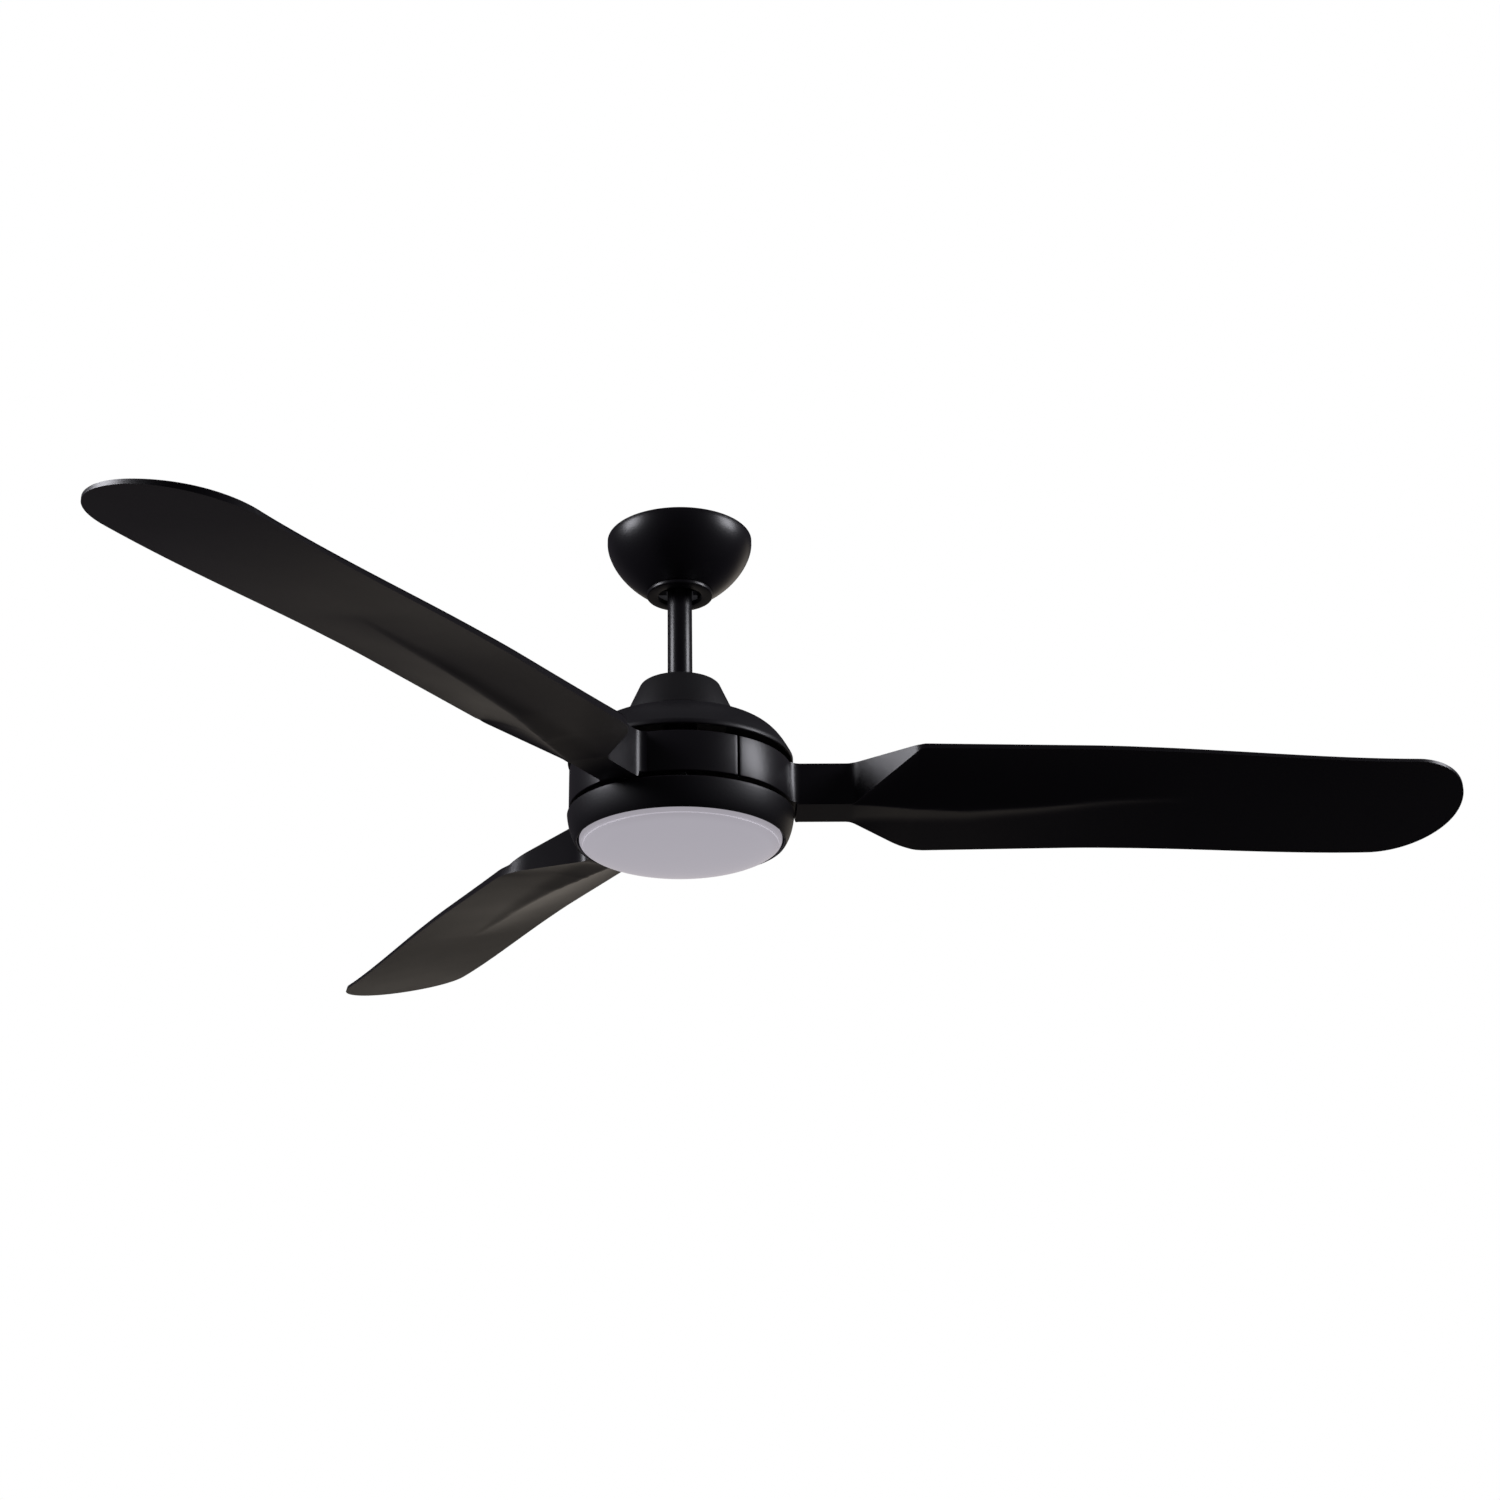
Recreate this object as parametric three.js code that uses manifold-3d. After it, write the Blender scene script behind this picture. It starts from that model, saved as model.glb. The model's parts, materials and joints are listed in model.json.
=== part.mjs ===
// Ceiling fan with a light: three moulded blades on a flat outrunner motor, hung from a ball
// and bracket by a short downrod, with a round canopy above and an opal light below.
// Millimetres, +Z up. The origin is the middle of the hanger bracket's top face, on the ceiling.
import * as THREE from 'three';
import { mergeVertices } from 'three/addons/utils/BufferGeometryUtils.js';
import Module from 'manifold-3d';

const wasm = await Module();
wasm.setup();

// ---------------------------------------------------------------- driving dimensions
// overall
const BLADE_TIP_RADIUS = 763;      // half of the swept circle
const RING_DROP = 280.5;           // ceiling down to the middle of the blade ring
const GAP = 0.3;                   // between pieces that touch or are pressed together
const BIG_SIDES = 30;              // facets round a large ring
const SMALL_SIDES = 16;            // facets round a shaft, race or boss
const SCREW_SIDES = 8;

// ceiling bracket and its ball
const SEAT_LAND = 4.53;            // bracket's floor beside the ball's seat
const BRACKET_LENGTH = 112;
const LEG_CLEARANCE = 3.7;         // from the seat's liner to a leg
const STEEL = 2;                   // bracket sheet
const BALL_WALL = 9.5;             // ball's radius beyond the rod's
const BALL_DROP = 36;              // ceiling down to the ball's centre
const LINER_WALL = 2;
const LINER_TOP_ANGLE = 6;         // degrees below the ball's equator
const LINER_FOOT_ANGLE = 41;
const SEAT_DROP = 12;              // ball centre down to the bracket's floor
const CROSS_PIN_RADIUS = 3;
const CROSS_PIN_DROP = 24;

// canopy and its trim ring
const CANOPY_RADIUS = 74.4;
const CANOPY_CLEARANCE = 0.9;      // rim below the ceiling
const CANOPY_LIP = 5.5;
const CANOPY_DEPTH = 60.6;         // ceiling down to the canopy's floor
const CANOPY_FULL_DEPTH = 66.3;    // depth at which the same curve would close
const CANOPY_ROUNDNESS = 1.63;
const CANOPY_WALL = 1.2;
const TRIM_PASSES = 0.3;           // the ring slips up over the ball
const TRIM_LAND = 5.53;            // from the canopy's screws out to the ring's edge
const TRIM_HEIGHT = 4.2;
const CANOPY_SCREW_INSET = 6.8;    // screws outside the ball's seat, hidden behind the trim ring

// downrod and the yoke that it pins into
const ROD_RADIUS = 12.5;
const ROD_WALL = 2;
const ROD_TOP = -20;
const YOKE_WALL = 4;
const YOKE_SOCKET_TOP = 104;       // from here on, heights are above the blade ring's middle
const YOKE_SOCKET_FLOOR = 74;
const YOKE_BOSS_FOOT = 46;
const YOKE_FLANGE_RADIUS = 46;
const YOKE_FLANGE = 4.4;
const YOKE_PIN_RADIUS = 3;
const YOKE_PIN_HEIGHT = 90;

// covers above the blades
const CONE_TOP = 114.8;
const CONE_FOOT = 76.1;
const CONE_TOP_RADIUS = 39.9;
const CONE_FOOT_RADIUS = 57.1;
const COVER_WALL = 1.8;
const COVER_PROUD = 1.6;           // upper cover's lip outside the blade ring
const COVER_EDGE = 29.4;           // underside of the upper cover's lip

// blade ring and blades
const RING_CLEARANCE = 8;          // motor's flange to the inside of the blade ring
const RING_WALL = 4;
const RING_TOP = 23.1;
const RING_FOOT = -17.6;
const RING_SEAM = 1.8;             // width of the split between two blade roots
const BLADES = 3;
const ROOT_CLEARANCE = 3;          // motor's rim to a blade root's flange
const ROOT_FLANGE = 4;
const NECK_LEADING = 21.5;         // half widths of the neck on its two sides
const NECK_TRAILING = 19;
const NECK_LENGTH = 58;
const SHOULDER_LENGTH = 61;        // from the neck's end to the blade's full width
const WING_LEADING = 82.5;
const WING_TRAILING = 85;
const ROOT_PITCH = 15;           // degrees
const TIP_PITCH = 13.1;
const BLADE_DROOP = 12.2;
const BLADE_MIDDLE = -7.8;         // height of the blade's underside on its centre line
const RIDGE_DEPTH = 15;            // crease below the underside, near the neck
const RIDGE_LENGTH = 280;
const BLADE_SCREW_INSET = 13;      // from the flange's inner edge
const BLADE_SCREW_LAND = 12;       // from the blade screws out to the motor flange's edge
const BLADE_SCREW_ANGLE = 32;      // degrees either side of the blade

// motor
const SHAFT_RADIUS = 8;
const SHAFT_BORE = 5;
const SHAFT_TOP = 72.6;
const SHAFT_FOOT = -28;
const RACE_WALL = 2.4;
const BALL_TRACK = 2.9;            // room for the bearing's balls between its races
const BEARING_WIDTH = 9;
const ROTOR_RADIUS = 63;
const ROTOR_WALL = 3;
const ROTOR_TOP = 17;
const ROTOR_FOOT = -12;
const ROTOR_RIM = 7;               // the top shell's flange, outside its wall
const MAGNET = 3;
const MAGNET_TOP = 10;
const MAGNET_FOOT = -6;
const AIR_GAP = 1;
const STACK_TOP = 7;
const STACK_FOOT = -3;
const TEETH = 12;
const TOOTH_ROOT_RADIUS = 28;
const SLOT_WIDTH = 7;

// light
const PLATE_TOP = -19;
const PLATE = 2.4;
const PLATE_RADIUS = 70;
const HOUSING_PROUD = 1.5;         // housing's top edge outside the blade ring
const HOUSING_TOP = -23.1;
const HOUSING_FOOT = -51.5;
const HOUSING_WALL = 2.4;
const MOUTH_INSET = 9.9;           // from the housing's top edge in to its mouth
const LENS_CLEARANCE = 2.4;        // mouth to lens
const LENS_EDGE = -49.5;
const LENS_DEPTH = 20.6;
const LENS_WALL = 2;
const LENS_COLLAR_TOP = -41;
const LUG_ARC = 26;                // degrees of each bayonet lug
const LUG = 2;
const TAB_TOP = -44.6;
const LED_BOARD_RADIUS = 86;
const LED_BOARD_TOP = -41.2;
const LED_BOARD = 1.6;
const POST_RING = 76;
const POST_RADIUS = 4;

// fasteners
const M3 = 1.5;
const M4 = 2;
const M5 = 2.5;
const HEAD_HEIGHT = 2;

// ---------------------------------------------------------------- sizes that follow from these
const BALL_RADIUS = ROD_RADIUS + BALL_WALL;
const linerOutside = BALL_RADIUS + GAP + LINER_WALL;
const seatHoleRadius = Math.sqrt((linerOutside + GAP) ** 2 - SEAT_DROP ** 2);
const BRACKET_WIDTH = 2 * (seatHoleRadius + SEAT_LAND);
const BRACKET_LEG_OUTSIDE = linerOutside + LEG_CLEARANCE + STEEL;
const TRIM_HOLE_RADIUS = BALL_RADIUS + TRIM_PASSES;
const canopyScrewRing = seatHoleRadius + CANOPY_SCREW_INSET;
const TRIM_RADIUS = canopyScrewRing + TRIM_LAND;

const BEARING_RADIUS = SHAFT_RADIUS + GAP + 2 * RACE_WALL + BALL_TRACK;
const ROOT_FLANGE_RADIUS = ROTOR_RADIUS + ROTOR_RIM + ROOT_CLEARANCE;
const BLADE_SCREW_RING = ROOT_FLANGE_RADIUS + BLADE_SCREW_INSET;
const ROTOR_FLANGE_RADIUS = BLADE_SCREW_RING + BLADE_SCREW_LAND;
const RING_RADIUS = ROTOR_FLANGE_RADIUS + RING_CLEARANCE + RING_WALL;
const NECK_END = RING_RADIUS + NECK_LENGTH;
const WING_START = NECK_END + SHOULDER_LENGTH;
const COVER_RADIUS = RING_RADIUS + COVER_PROUD;
const HOUSING_RADIUS = RING_RADIUS + HOUSING_PROUD;
const HOUSING_MOUTH = HOUSING_RADIUS - MOUTH_INSET;
const LENS_RADIUS = HOUSING_MOUTH - LENS_CLEARANCE;

// ---------------------------------------------------------------- finishes
const finish = (color, roughness, metalness) =>
  new THREE.MeshStandardMaterial({ color, roughness, metalness });
const BLACK_PAINT = finish(0x151517, 0.45, 0.2);
const BLACK_PLASTIC = finish(0x191817, 0.6, 0);
const ZINC = finish(0xb4b8bc, 0.35, 0.9);
const BRASS = finish(0xb08d46, 0.35, 0.9);
const ALLOY = finish(0xc4c7ca, 0.4, 0.9);
const LAMINATION = finish(0x4a4d52, 0.5, 0.8);
const COPPER = finish(0xa8602f, 0.4, 0.8);
const MAGNET_GREY = finish(0x33343a, 0.6, 0.2);
const NYLON = finish(0xd8d6cc, 0.6, 0);
const WHITE_PLASTIC = finish(0xe6e6e4, 0.5, 0);
const OPAL = finish(0xd9d9da, 0.35, 0);

// ---------------------------------------------------------------- geometry helpers
const radians = THREE.MathUtils.degToRad;
const { lerp, smoothstep } = THREE.MathUtils;

function cleaned(geometry) {
  const bare = geometry.clone();
  bare.deleteAttribute('normal');
  bare.deleteAttribute('uv');
  const merged = mergeVertices(bare, 1e-4);
  const index = merged.index.array;
  const kept = [];
  for (let i = 0; i < index.length; i += 3) {
    const [a, b, c] = [index[i], index[i + 1], index[i + 2]];
    if (a !== b && b !== c && c !== a) kept.push(a, b, c);
  }
  merged.setIndex(kept);
  return merged;
}

function signedVolume(geometry) {
  const spot = geometry.attributes.position;
  const index = geometry.index.array;
  const [a, b, c] = [new THREE.Vector3(), new THREE.Vector3(), new THREE.Vector3()];
  let volume = 0;
  for (let i = 0; i < index.length; i += 3) {
    a.fromBufferAttribute(spot, index[i]);
    b.fromBufferAttribute(spot, index[i + 1]);
    c.fromBufferAttribute(spot, index[i + 2]);
    volume += a.dot(b.cross(c)) / 6;
  }
  return volume;
}

function closed(geometry) {
  const solid = cleaned(geometry);
  if (signedVolume(solid) < 0) {
    const index = solid.index.array;
    for (let i = 0; i < index.length; i += 3) [index[i], index[i + 1]] = [index[i + 1], index[i]];
  }
  return solid;
}

function toManifold(geometry) {
  const solid = closed(geometry);
  return new wasm.Manifold(new wasm.Mesh({
    numProp: 3,
    vertProperties: new Float32Array(solid.attributes.position.array),
    triVerts: new Uint32Array(solid.index.array),
  }));
}

function fromManifold(solid) {
  const mesh = solid.getMesh();
  const geometry = new THREE.BufferGeometry();
  geometry.setAttribute('position', new THREE.Float32BufferAttribute(mesh.vertProperties, 3));
  geometry.setIndex(Array.from(mesh.triVerts));
  return geometry;
}

const cut = (geometry, ...tools) =>
  fromManifold(tools.reduce((solid, tool) => solid.subtract(toManifold(tool)), toManifold(geometry)));
const join = (geometry, ...others) =>
  fromManifold(others.reduce((solid, other) => solid.add(toManifold(other)), toManifold(geometry)));
const common = (geometry, other) => fromManifold(toManifold(geometry).intersect(toManifold(other)));

// A turned piece: the outline is a list of [radius, height], closed on itself or on the axis.
function turned(outline, sides = BIG_SIDES) {
  const points = outline.map(([r, z]) => new THREE.Vector2(r, z));
  const onAxis = outline[0][0] === 0 && outline[outline.length - 1][0] === 0;
  if (!onAxis) points.push(points[0].clone());
  return new THREE.LatheGeometry(points, sides).rotateX(Math.PI / 2);
}

const tube = (outer, inner, foot, top, sides) =>
  turned([[inner, foot], [outer, foot], [outer, top], [inner, top]], sides);

function rod(radius, foot, top, sides = SMALL_SIDES) {
  return new THREE.CylinderGeometry(radius, radius, top - foot, sides)
    .rotateX(Math.PI / 2)
    .translate(0, 0, (foot + top) / 2);
}

function block([x0, x1], [y0, y1], [z0, z1]) {
  return new THREE.BoxGeometry(x1 - x0, y1 - y0, z1 - z0)
    .translate((x0 + x1) / 2, (y0 + y1) / 2, (z0 + z1) / 2);
}

// A pan-head screw pointing up, with the underside of its head at height 0.
function panScrew(radius, length, headRadius = radius * 1.9, headHeight = HEAD_HEIGHT) {
  return turned([
    [0, -headHeight], [headRadius * 0.75, -headHeight], [headRadius, -headHeight * 0.4],
    [headRadius, 0], [radius, 0], [radius, length], [0, length],
  ], SCREW_SIDES);
}

const at = (geometry, x, y, z) => geometry.translate(x, y, z);
const polar = (radius, degrees) =>
  [radius * Math.cos(radians(degrees)), radius * Math.sin(radians(degrees))];
const thirds = (start) => [0, 1, 2].map((k) => start + 120 * k);

// A slice of a round solid, cut out by a wedge from the axis between two angles.
function slice(geometry, fromDegrees, toDegrees, reach = 400) {
  const wedge = new THREE.Shape();
  const steps = Math.max(2, Math.ceil((toDegrees - fromDegrees) / 30));
  wedge.moveTo(0, 0);
  for (let i = 0; i <= steps; i++) {
    wedge.lineTo(...polar(reach, lerp(fromDegrees, toDegrees, i / steps)));
  }
  wedge.closePath();
  const tool = new THREE.ExtrudeGeometry(wedge, { depth: 2 * reach, bevelEnabled: false });
  return common(geometry, tool.translate(0, 0, -reach));
}

// ---------------------------------------------------------------- the assembly's groups
const fan = new THREE.Group();
const motorLevel = new THREE.Group();
motorLevel.position.z = -RING_DROP;
fan.add(motorLevel);

function place(name, geometry, material, parent = motorLevel) {
  const mesh = new THREE.Mesh(closed(geometry), material);
  mesh.name = name;
  parent.add(mesh);
  return mesh;
}

// ---------------------------------------------------------------- ceiling bracket
const ballZ = -BALL_DROP;
const seatTop = ballZ - SEAT_DROP;
const canopyScrewSpots = [45, 225].map((a) => polar(canopyScrewRing, a));
const earthScrewSpot = [0, 19];
const supplyHoleSpot = [0, -17];

function hangerBracket() {
  const half = BRACKET_WIDTH / 2;
  const out = BRACKET_LEG_OUTSIDE;
  const foot = seatTop - STEEL;
  const head = block([-BRACKET_LENGTH / 2, BRACKET_LENGTH / 2], [-half, half], [-STEEL, 0]);
  const right = block([out - STEEL, out], [-half, half], [foot, 0]);
  const left = block([-out, STEEL - out], [-half, half], [foot, 0]);
  const floor = block([-out, out], [-half, half], [foot, seatTop]);
  const seatHole = rod(seatHoleRadius, foot - 1, seatTop + 1, 32);
  const rodSlot = block([-ROD_RADIUS - 1, ROD_RADIUS + 1], [0, half + 1], [foot - 1, seatTop + 1]);
  const ceilingSlots = [-45, 45].map((x) => block([x - 5, x + 5], [-3, 3], [-STEEL - 1, 1]));
  const threads = canopyScrewSpots.map(([x, y]) => at(rod(M4 + GAP, foot - 1, seatTop + 1, SCREW_SIDES), x, y, 0));
  const earthHole = at(rod(M4 + GAP, -STEEL - 1, 1, SCREW_SIDES), ...earthScrewSpot, 0);
  const supplyHole = at(rod(7, -STEEL - 1, 1, SMALL_SIDES), ...supplyHoleSpot, 0);
  return cut(join(head, right, left, floor), seatHole, rodSlot, ...ceilingSlots, ...threads, earthHole, supplyHole);
}
place('hanger_bracket', hangerBracket(), ZINC, fan);

place('earth_screw', at(panScrew(M4, STEEL - GAP), ...earthScrewSpot, -STEEL - GAP), BRASS, fan);

const sideGear = BRACKET_LEG_OUTSIDE + GAP;
function receiverBox() {
  const shell = block([sideGear, sideGear + 25], [-20, 20], [-31, -6]);
  const socket = block([sideGear + 8, sideGear + 18], [-21, -16], [-24, -12]);
  return cut(shell, socket);
}
place('receiver_box', receiverBox(), BLACK_PLASTIC, fan);

function terminalBlock() {
  const body = block([-sideGear - 16, -sideGear], [-15, 15], [-24, -10]);
  const wells = [-10, 0, 10].map((y) => at(rod(2.6, -28, -18, SCREW_SIDES), -sideGear - 8, y, 0));
  return cut(body, ...wells);
}
place('terminal_block', terminalBlock(), WHITE_PLASTIC, fan);

// ---------------------------------------------------------------- canopy
const canopyFloor = -CANOPY_DEPTH;
const canopyRim = -CANOPY_CLEARANCE;

// The canopy's curve: radius at a depth below the ceiling, with the wall taken off.
function canopyRadius(depth, wall = 0) {
  const share = Math.max(0, depth - CANOPY_CLEARANCE - CANOPY_LIP) / (CANOPY_FULL_DEPTH - wall);
  const inner = CANOPY_RADIUS - wall;
  return inner * (1 - share ** CANOPY_ROUNDNESS) ** (1 / CANOPY_ROUNDNESS);
}

function canopy() {
  const steps = 6;
  const start = CANOPY_CLEARANCE + CANOPY_LIP;
  const outside = [[CANOPY_RADIUS, canopyRim]];
  const inside = [];
  for (let i = 0; i <= steps; i++) {
    const share = Math.sin((Math.PI / 2) * (i / steps));
    const outerDepth = lerp(start, CANOPY_DEPTH, share);
    const innerDepth = lerp(start, CANOPY_DEPTH - CANOPY_WALL, share);
    outside.push([canopyRadius(outerDepth), -outerDepth]);
    inside.unshift([canopyRadius(innerDepth, CANOPY_WALL), -innerDepth]);
  }
  inside.push([CANOPY_RADIUS - CANOPY_WALL, canopyRim]);
  const mouth = TRIM_HOLE_RADIUS + 1.2;
  const outline = [...outside, [mouth, canopyFloor], [mouth, canopyFloor + CANOPY_WALL], ...inside];
  const shell = turned(outline);
  const holes = canopyScrewSpots.map(([x, y]) => at(rod(M4 + GAP, canopyFloor - 1, canopyFloor + 3, SCREW_SIDES), x, y, 0));
  return cut(shell, ...holes);
}
place('canopy', canopy(), BLACK_PAINT, fan);

canopyScrewSpots.forEach(([x, y], k) => {
  const length = seatTop - canopyFloor + GAP;
  place(`canopy_screw_${k + 1}`, at(panScrew(M4, length, 3.4), x, y, canopyFloor - GAP), ZINC, fan);
});

function trimRing() {
  const top = canopyFloor - GAP;
  const foot = top - TRIM_HEIGHT;
  const wall = 1.8;
  const groove = top - HEAD_HEIGHT - GAP * 2;
  return turned([
    [TRIM_HOLE_RADIUS, foot], [TRIM_RADIUS - 1.6, foot], [TRIM_RADIUS - 0.5, foot + 0.5],
    [TRIM_RADIUS, foot + 1.6], [TRIM_RADIUS, top], [TRIM_RADIUS - wall, top],
    [TRIM_RADIUS - wall, groove], [TRIM_HOLE_RADIUS + wall, groove], [TRIM_HOLE_RADIUS + wall, top],
    [TRIM_HOLE_RADIUS, top],
  ]);
}
place('canopy_trim_ring', trimRing(), BLACK_PAINT, fan);

// ---------------------------------------------------------------- ball, liner and downrod
function seatLiner() {
  const inner = BALL_RADIUS + GAP;
  const steps = 3;
  const arc = (radius) => Array.from({ length: steps + 1 }, (_, i) => {
    const angle = radians(lerp(LINER_TOP_ANGLE, LINER_FOOT_ANGLE, i / steps));
    return [radius * Math.cos(angle), ballZ - radius * Math.sin(angle)];
  });
  return turned([...arc(linerOutside), ...arc(inner).reverse()], 24);
}
place('seat_liner', seatLiner(), NYLON, fan);

const rodHole = ROD_RADIUS + GAP;
const ballTop = 14;
const pinLength = Math.sqrt(BALL_RADIUS ** 2 - (BALL_DROP - CROSS_PIN_DROP) ** 2) - 1;
const setScrewZ = ballZ + 2;
function hangerBall() {
  const ball = new THREE.SphereGeometry(BALL_RADIUS, 24, 12).rotateX(Math.PI / 2).translate(0, 0, ballZ);
  const bore = rod(rodHole, ballZ - 30, ballZ + 30);
  const flat = block([-30, 30], [-30, 30], [ballZ + ballTop, ballZ + 30]);
  const groove = CROSS_PIN_RADIUS + GAP;
  const slot = block([-30, 30], [-groove, groove], [-CROSS_PIN_DROP - groove, ballZ + 30]);
  const screwHole = at(rod(M5 + GAP, 0, 30, SCREW_SIDES).rotateX(-Math.PI / 2), 0, 0, setScrewZ);
  return cut(ball, bore, flat, slot, screwHole);
}
place('hanger_ball', hangerBall(), BLACK_PLASTIC, fan);

const alongX = (geometry) => geometry.rotateY(Math.PI / 2);
place('ball_cross_pin',
  at(alongX(rod(CROSS_PIN_RADIUS, -pinLength, pinLength, 12)), 0, 0, -CROSS_PIN_DROP), ZINC, fan);
place('ball_set_screw',
  at(rod(M5, ROD_RADIUS + GAP, BALL_RADIUS - 1.5, SCREW_SIDES).rotateX(-Math.PI / 2), 0, 0, setScrewZ), ZINC, fan);

const level = (height) => height - RING_DROP;
const rodFoot = YOKE_SOCKET_FLOOR + GAP;
function downrod() {
  const pipe = tube(ROD_RADIUS, ROD_RADIUS - ROD_WALL, level(rodFoot), ROD_TOP, 24);
  const topHole = at(alongX(rod(CROSS_PIN_RADIUS + GAP, -20, 20, 12)), 0, 0, -CROSS_PIN_DROP);
  const footHole = at(alongX(rod(YOKE_PIN_RADIUS + GAP, -20, 20, 12)), 0, 0, level(YOKE_PIN_HEIGHT));
  return cut(pipe, topHole, footHole);
}
place('downrod', downrod(), BLACK_PAINT, fan);

function leadBundle() {
  const aside = 6.4;
  const route = new THREE.CatmullRomCurve3([
    new THREE.Vector3(0, aside, ROD_TOP - 1),
    new THREE.Vector3(0, aside, level(YOKE_SOCKET_TOP)),
    new THREE.Vector3(0, aside, level(YOKE_PIN_HEIGHT - 6)),
    new THREE.Vector3(0, 1, level(SHAFT_TOP + 1)),
    new THREE.Vector3(0, 0, level(SHAFT_TOP - 12)),
    new THREE.Vector3(0, 0, level(SHAFT_FOOT)),
  ]);
  const section = new THREE.Shape().absarc(0, 0, 2.6, 0, 2 * Math.PI);
  return new THREE.ExtrudeGeometry(section, { steps: 18, curveSegments: 3, extrudePath: route, bevelEnabled: false });
}
place('lead_bundle', leadBundle(), BLACK_PLASTIC, fan);

// ---------------------------------------------------------------- yoke on the motor's shaft
const yokeOutside = rodHole + YOKE_WALL;
const flangeTop = CONE_FOOT - COVER_WALL - 2 * GAP;
const coverScrewRing = YOKE_FLANGE_RADIUS - 8;
const coverScrewAngles = thirds(30);
function motorYoke() {
  const flangeFoot = flangeTop - YOKE_FLANGE;
  const body = turned([
    [rodHole, YOKE_SOCKET_FLOOR], [SHAFT_RADIUS + GAP, YOKE_SOCKET_FLOOR], [SHAFT_RADIUS + GAP, YOKE_BOSS_FOOT],
    [yokeOutside - 1, YOKE_BOSS_FOOT], [yokeOutside, flangeFoot], [YOKE_FLANGE_RADIUS, flangeFoot],
    [YOKE_FLANGE_RADIUS, flangeTop], [yokeOutside, flangeTop], [yokeOutside, YOKE_SOCKET_TOP],
    [rodHole, YOKE_SOCKET_TOP],
  ], 24);
  const pinHole = at(alongX(rod(YOKE_PIN_RADIUS + GAP, -30, 30, 12)), 0, 0, YOKE_PIN_HEIGHT);
  const screwHole = at(rod(M4 + GAP, -30, 0, SCREW_SIDES).rotateX(-Math.PI / 2), 0, 0, YOKE_PIN_HEIGHT + 7);
  const threads = coverScrewAngles.map((a) => at(rod(M4 + GAP, flangeFoot - 1, flangeTop + 1, SCREW_SIDES), ...polar(coverScrewRing, a), 0));
  return cut(body, pinHole, screwHole, ...threads);
}
place('motor_yoke', motorYoke(), ALLOY);

const yokePinReach = yokeOutside + 7;
function yokePin() {
  const pin = turned([
    [0, -yokeOutside - 2.6], [4.6, -yokeOutside - 2.6], [4.6, -yokeOutside - 0.6],
    [YOKE_PIN_RADIUS, -yokeOutside - 0.6], [YOKE_PIN_RADIUS, yokePinReach], [0, yokePinReach],
  ], 12);
  const clipHole = at(rod(1.1, -10, 10, 8).rotateX(Math.PI / 2), 0, 0, yokeOutside + 3.5);
  return at(alongX(cut(pin, clipHole)), 0, 0, YOKE_PIN_HEIGHT);
}
place('yoke_pin', yokePin(), ZINC);

function pinClip() {
  const x = yokeOutside + 3.5;
  const route = new THREE.CatmullRomCurve3([
    new THREE.Vector3(x, -8, 0), new THREE.Vector3(x, 6, 0), new THREE.Vector3(x, 9, 0),
    new THREE.Vector3(x, 11, 2.5), new THREE.Vector3(x, 9, 5), new THREE.Vector3(x, 5, 5),
    new THREE.Vector3(x, 0, 4.2), new THREE.Vector3(x, -5, 6),
  ]);
  const section = new THREE.Shape().absarc(0, 0, 0.8, 0, 2 * Math.PI);
  const wire = new THREE.ExtrudeGeometry(section, { steps: 16, curveSegments: 2, extrudePath: route, bevelEnabled: false });
  return at(wire, 0, 0, YOKE_PIN_HEIGHT);
}
place('yoke_pin_clip', pinClip(), ZINC);

place('yoke_set_screw',
  at(rod(M4, -yokeOutside - 1.5, -rodHole, SCREW_SIDES).rotateX(-Math.PI / 2), 0, 0, YOKE_PIN_HEIGHT + 7), ZINC);

// ---------------------------------------------------------------- covers above the blades
function couplingCover() {
  const lean = (CONE_FOOT_RADIUS - CONE_TOP_RADIUS) / (CONE_TOP - CONE_FOOT);
  const side = (height) => CONE_FOOT_RADIUS - lean * (height - CONE_FOOT);
  const foot = CONE_FOOT + GAP;
  const round = 3;
  const hole = ROD_RADIUS + 0.8;
  return turned([
    [side(foot), foot], [side(CONE_TOP - round), CONE_TOP - round], [CONE_TOP_RADIUS - 0.6, CONE_TOP - 1],
    [CONE_TOP_RADIUS - round, CONE_TOP], [hole, CONE_TOP], [hole, CONE_TOP - COVER_WALL],
    [CONE_TOP_RADIUS - round, CONE_TOP - COVER_WALL], [side(CONE_TOP - round) - COVER_WALL, CONE_TOP - round],
    [side(foot) - COVER_WALL, foot],
  ]);
}
place('coupling_cover', couplingCover(), BLACK_PLASTIC);

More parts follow.
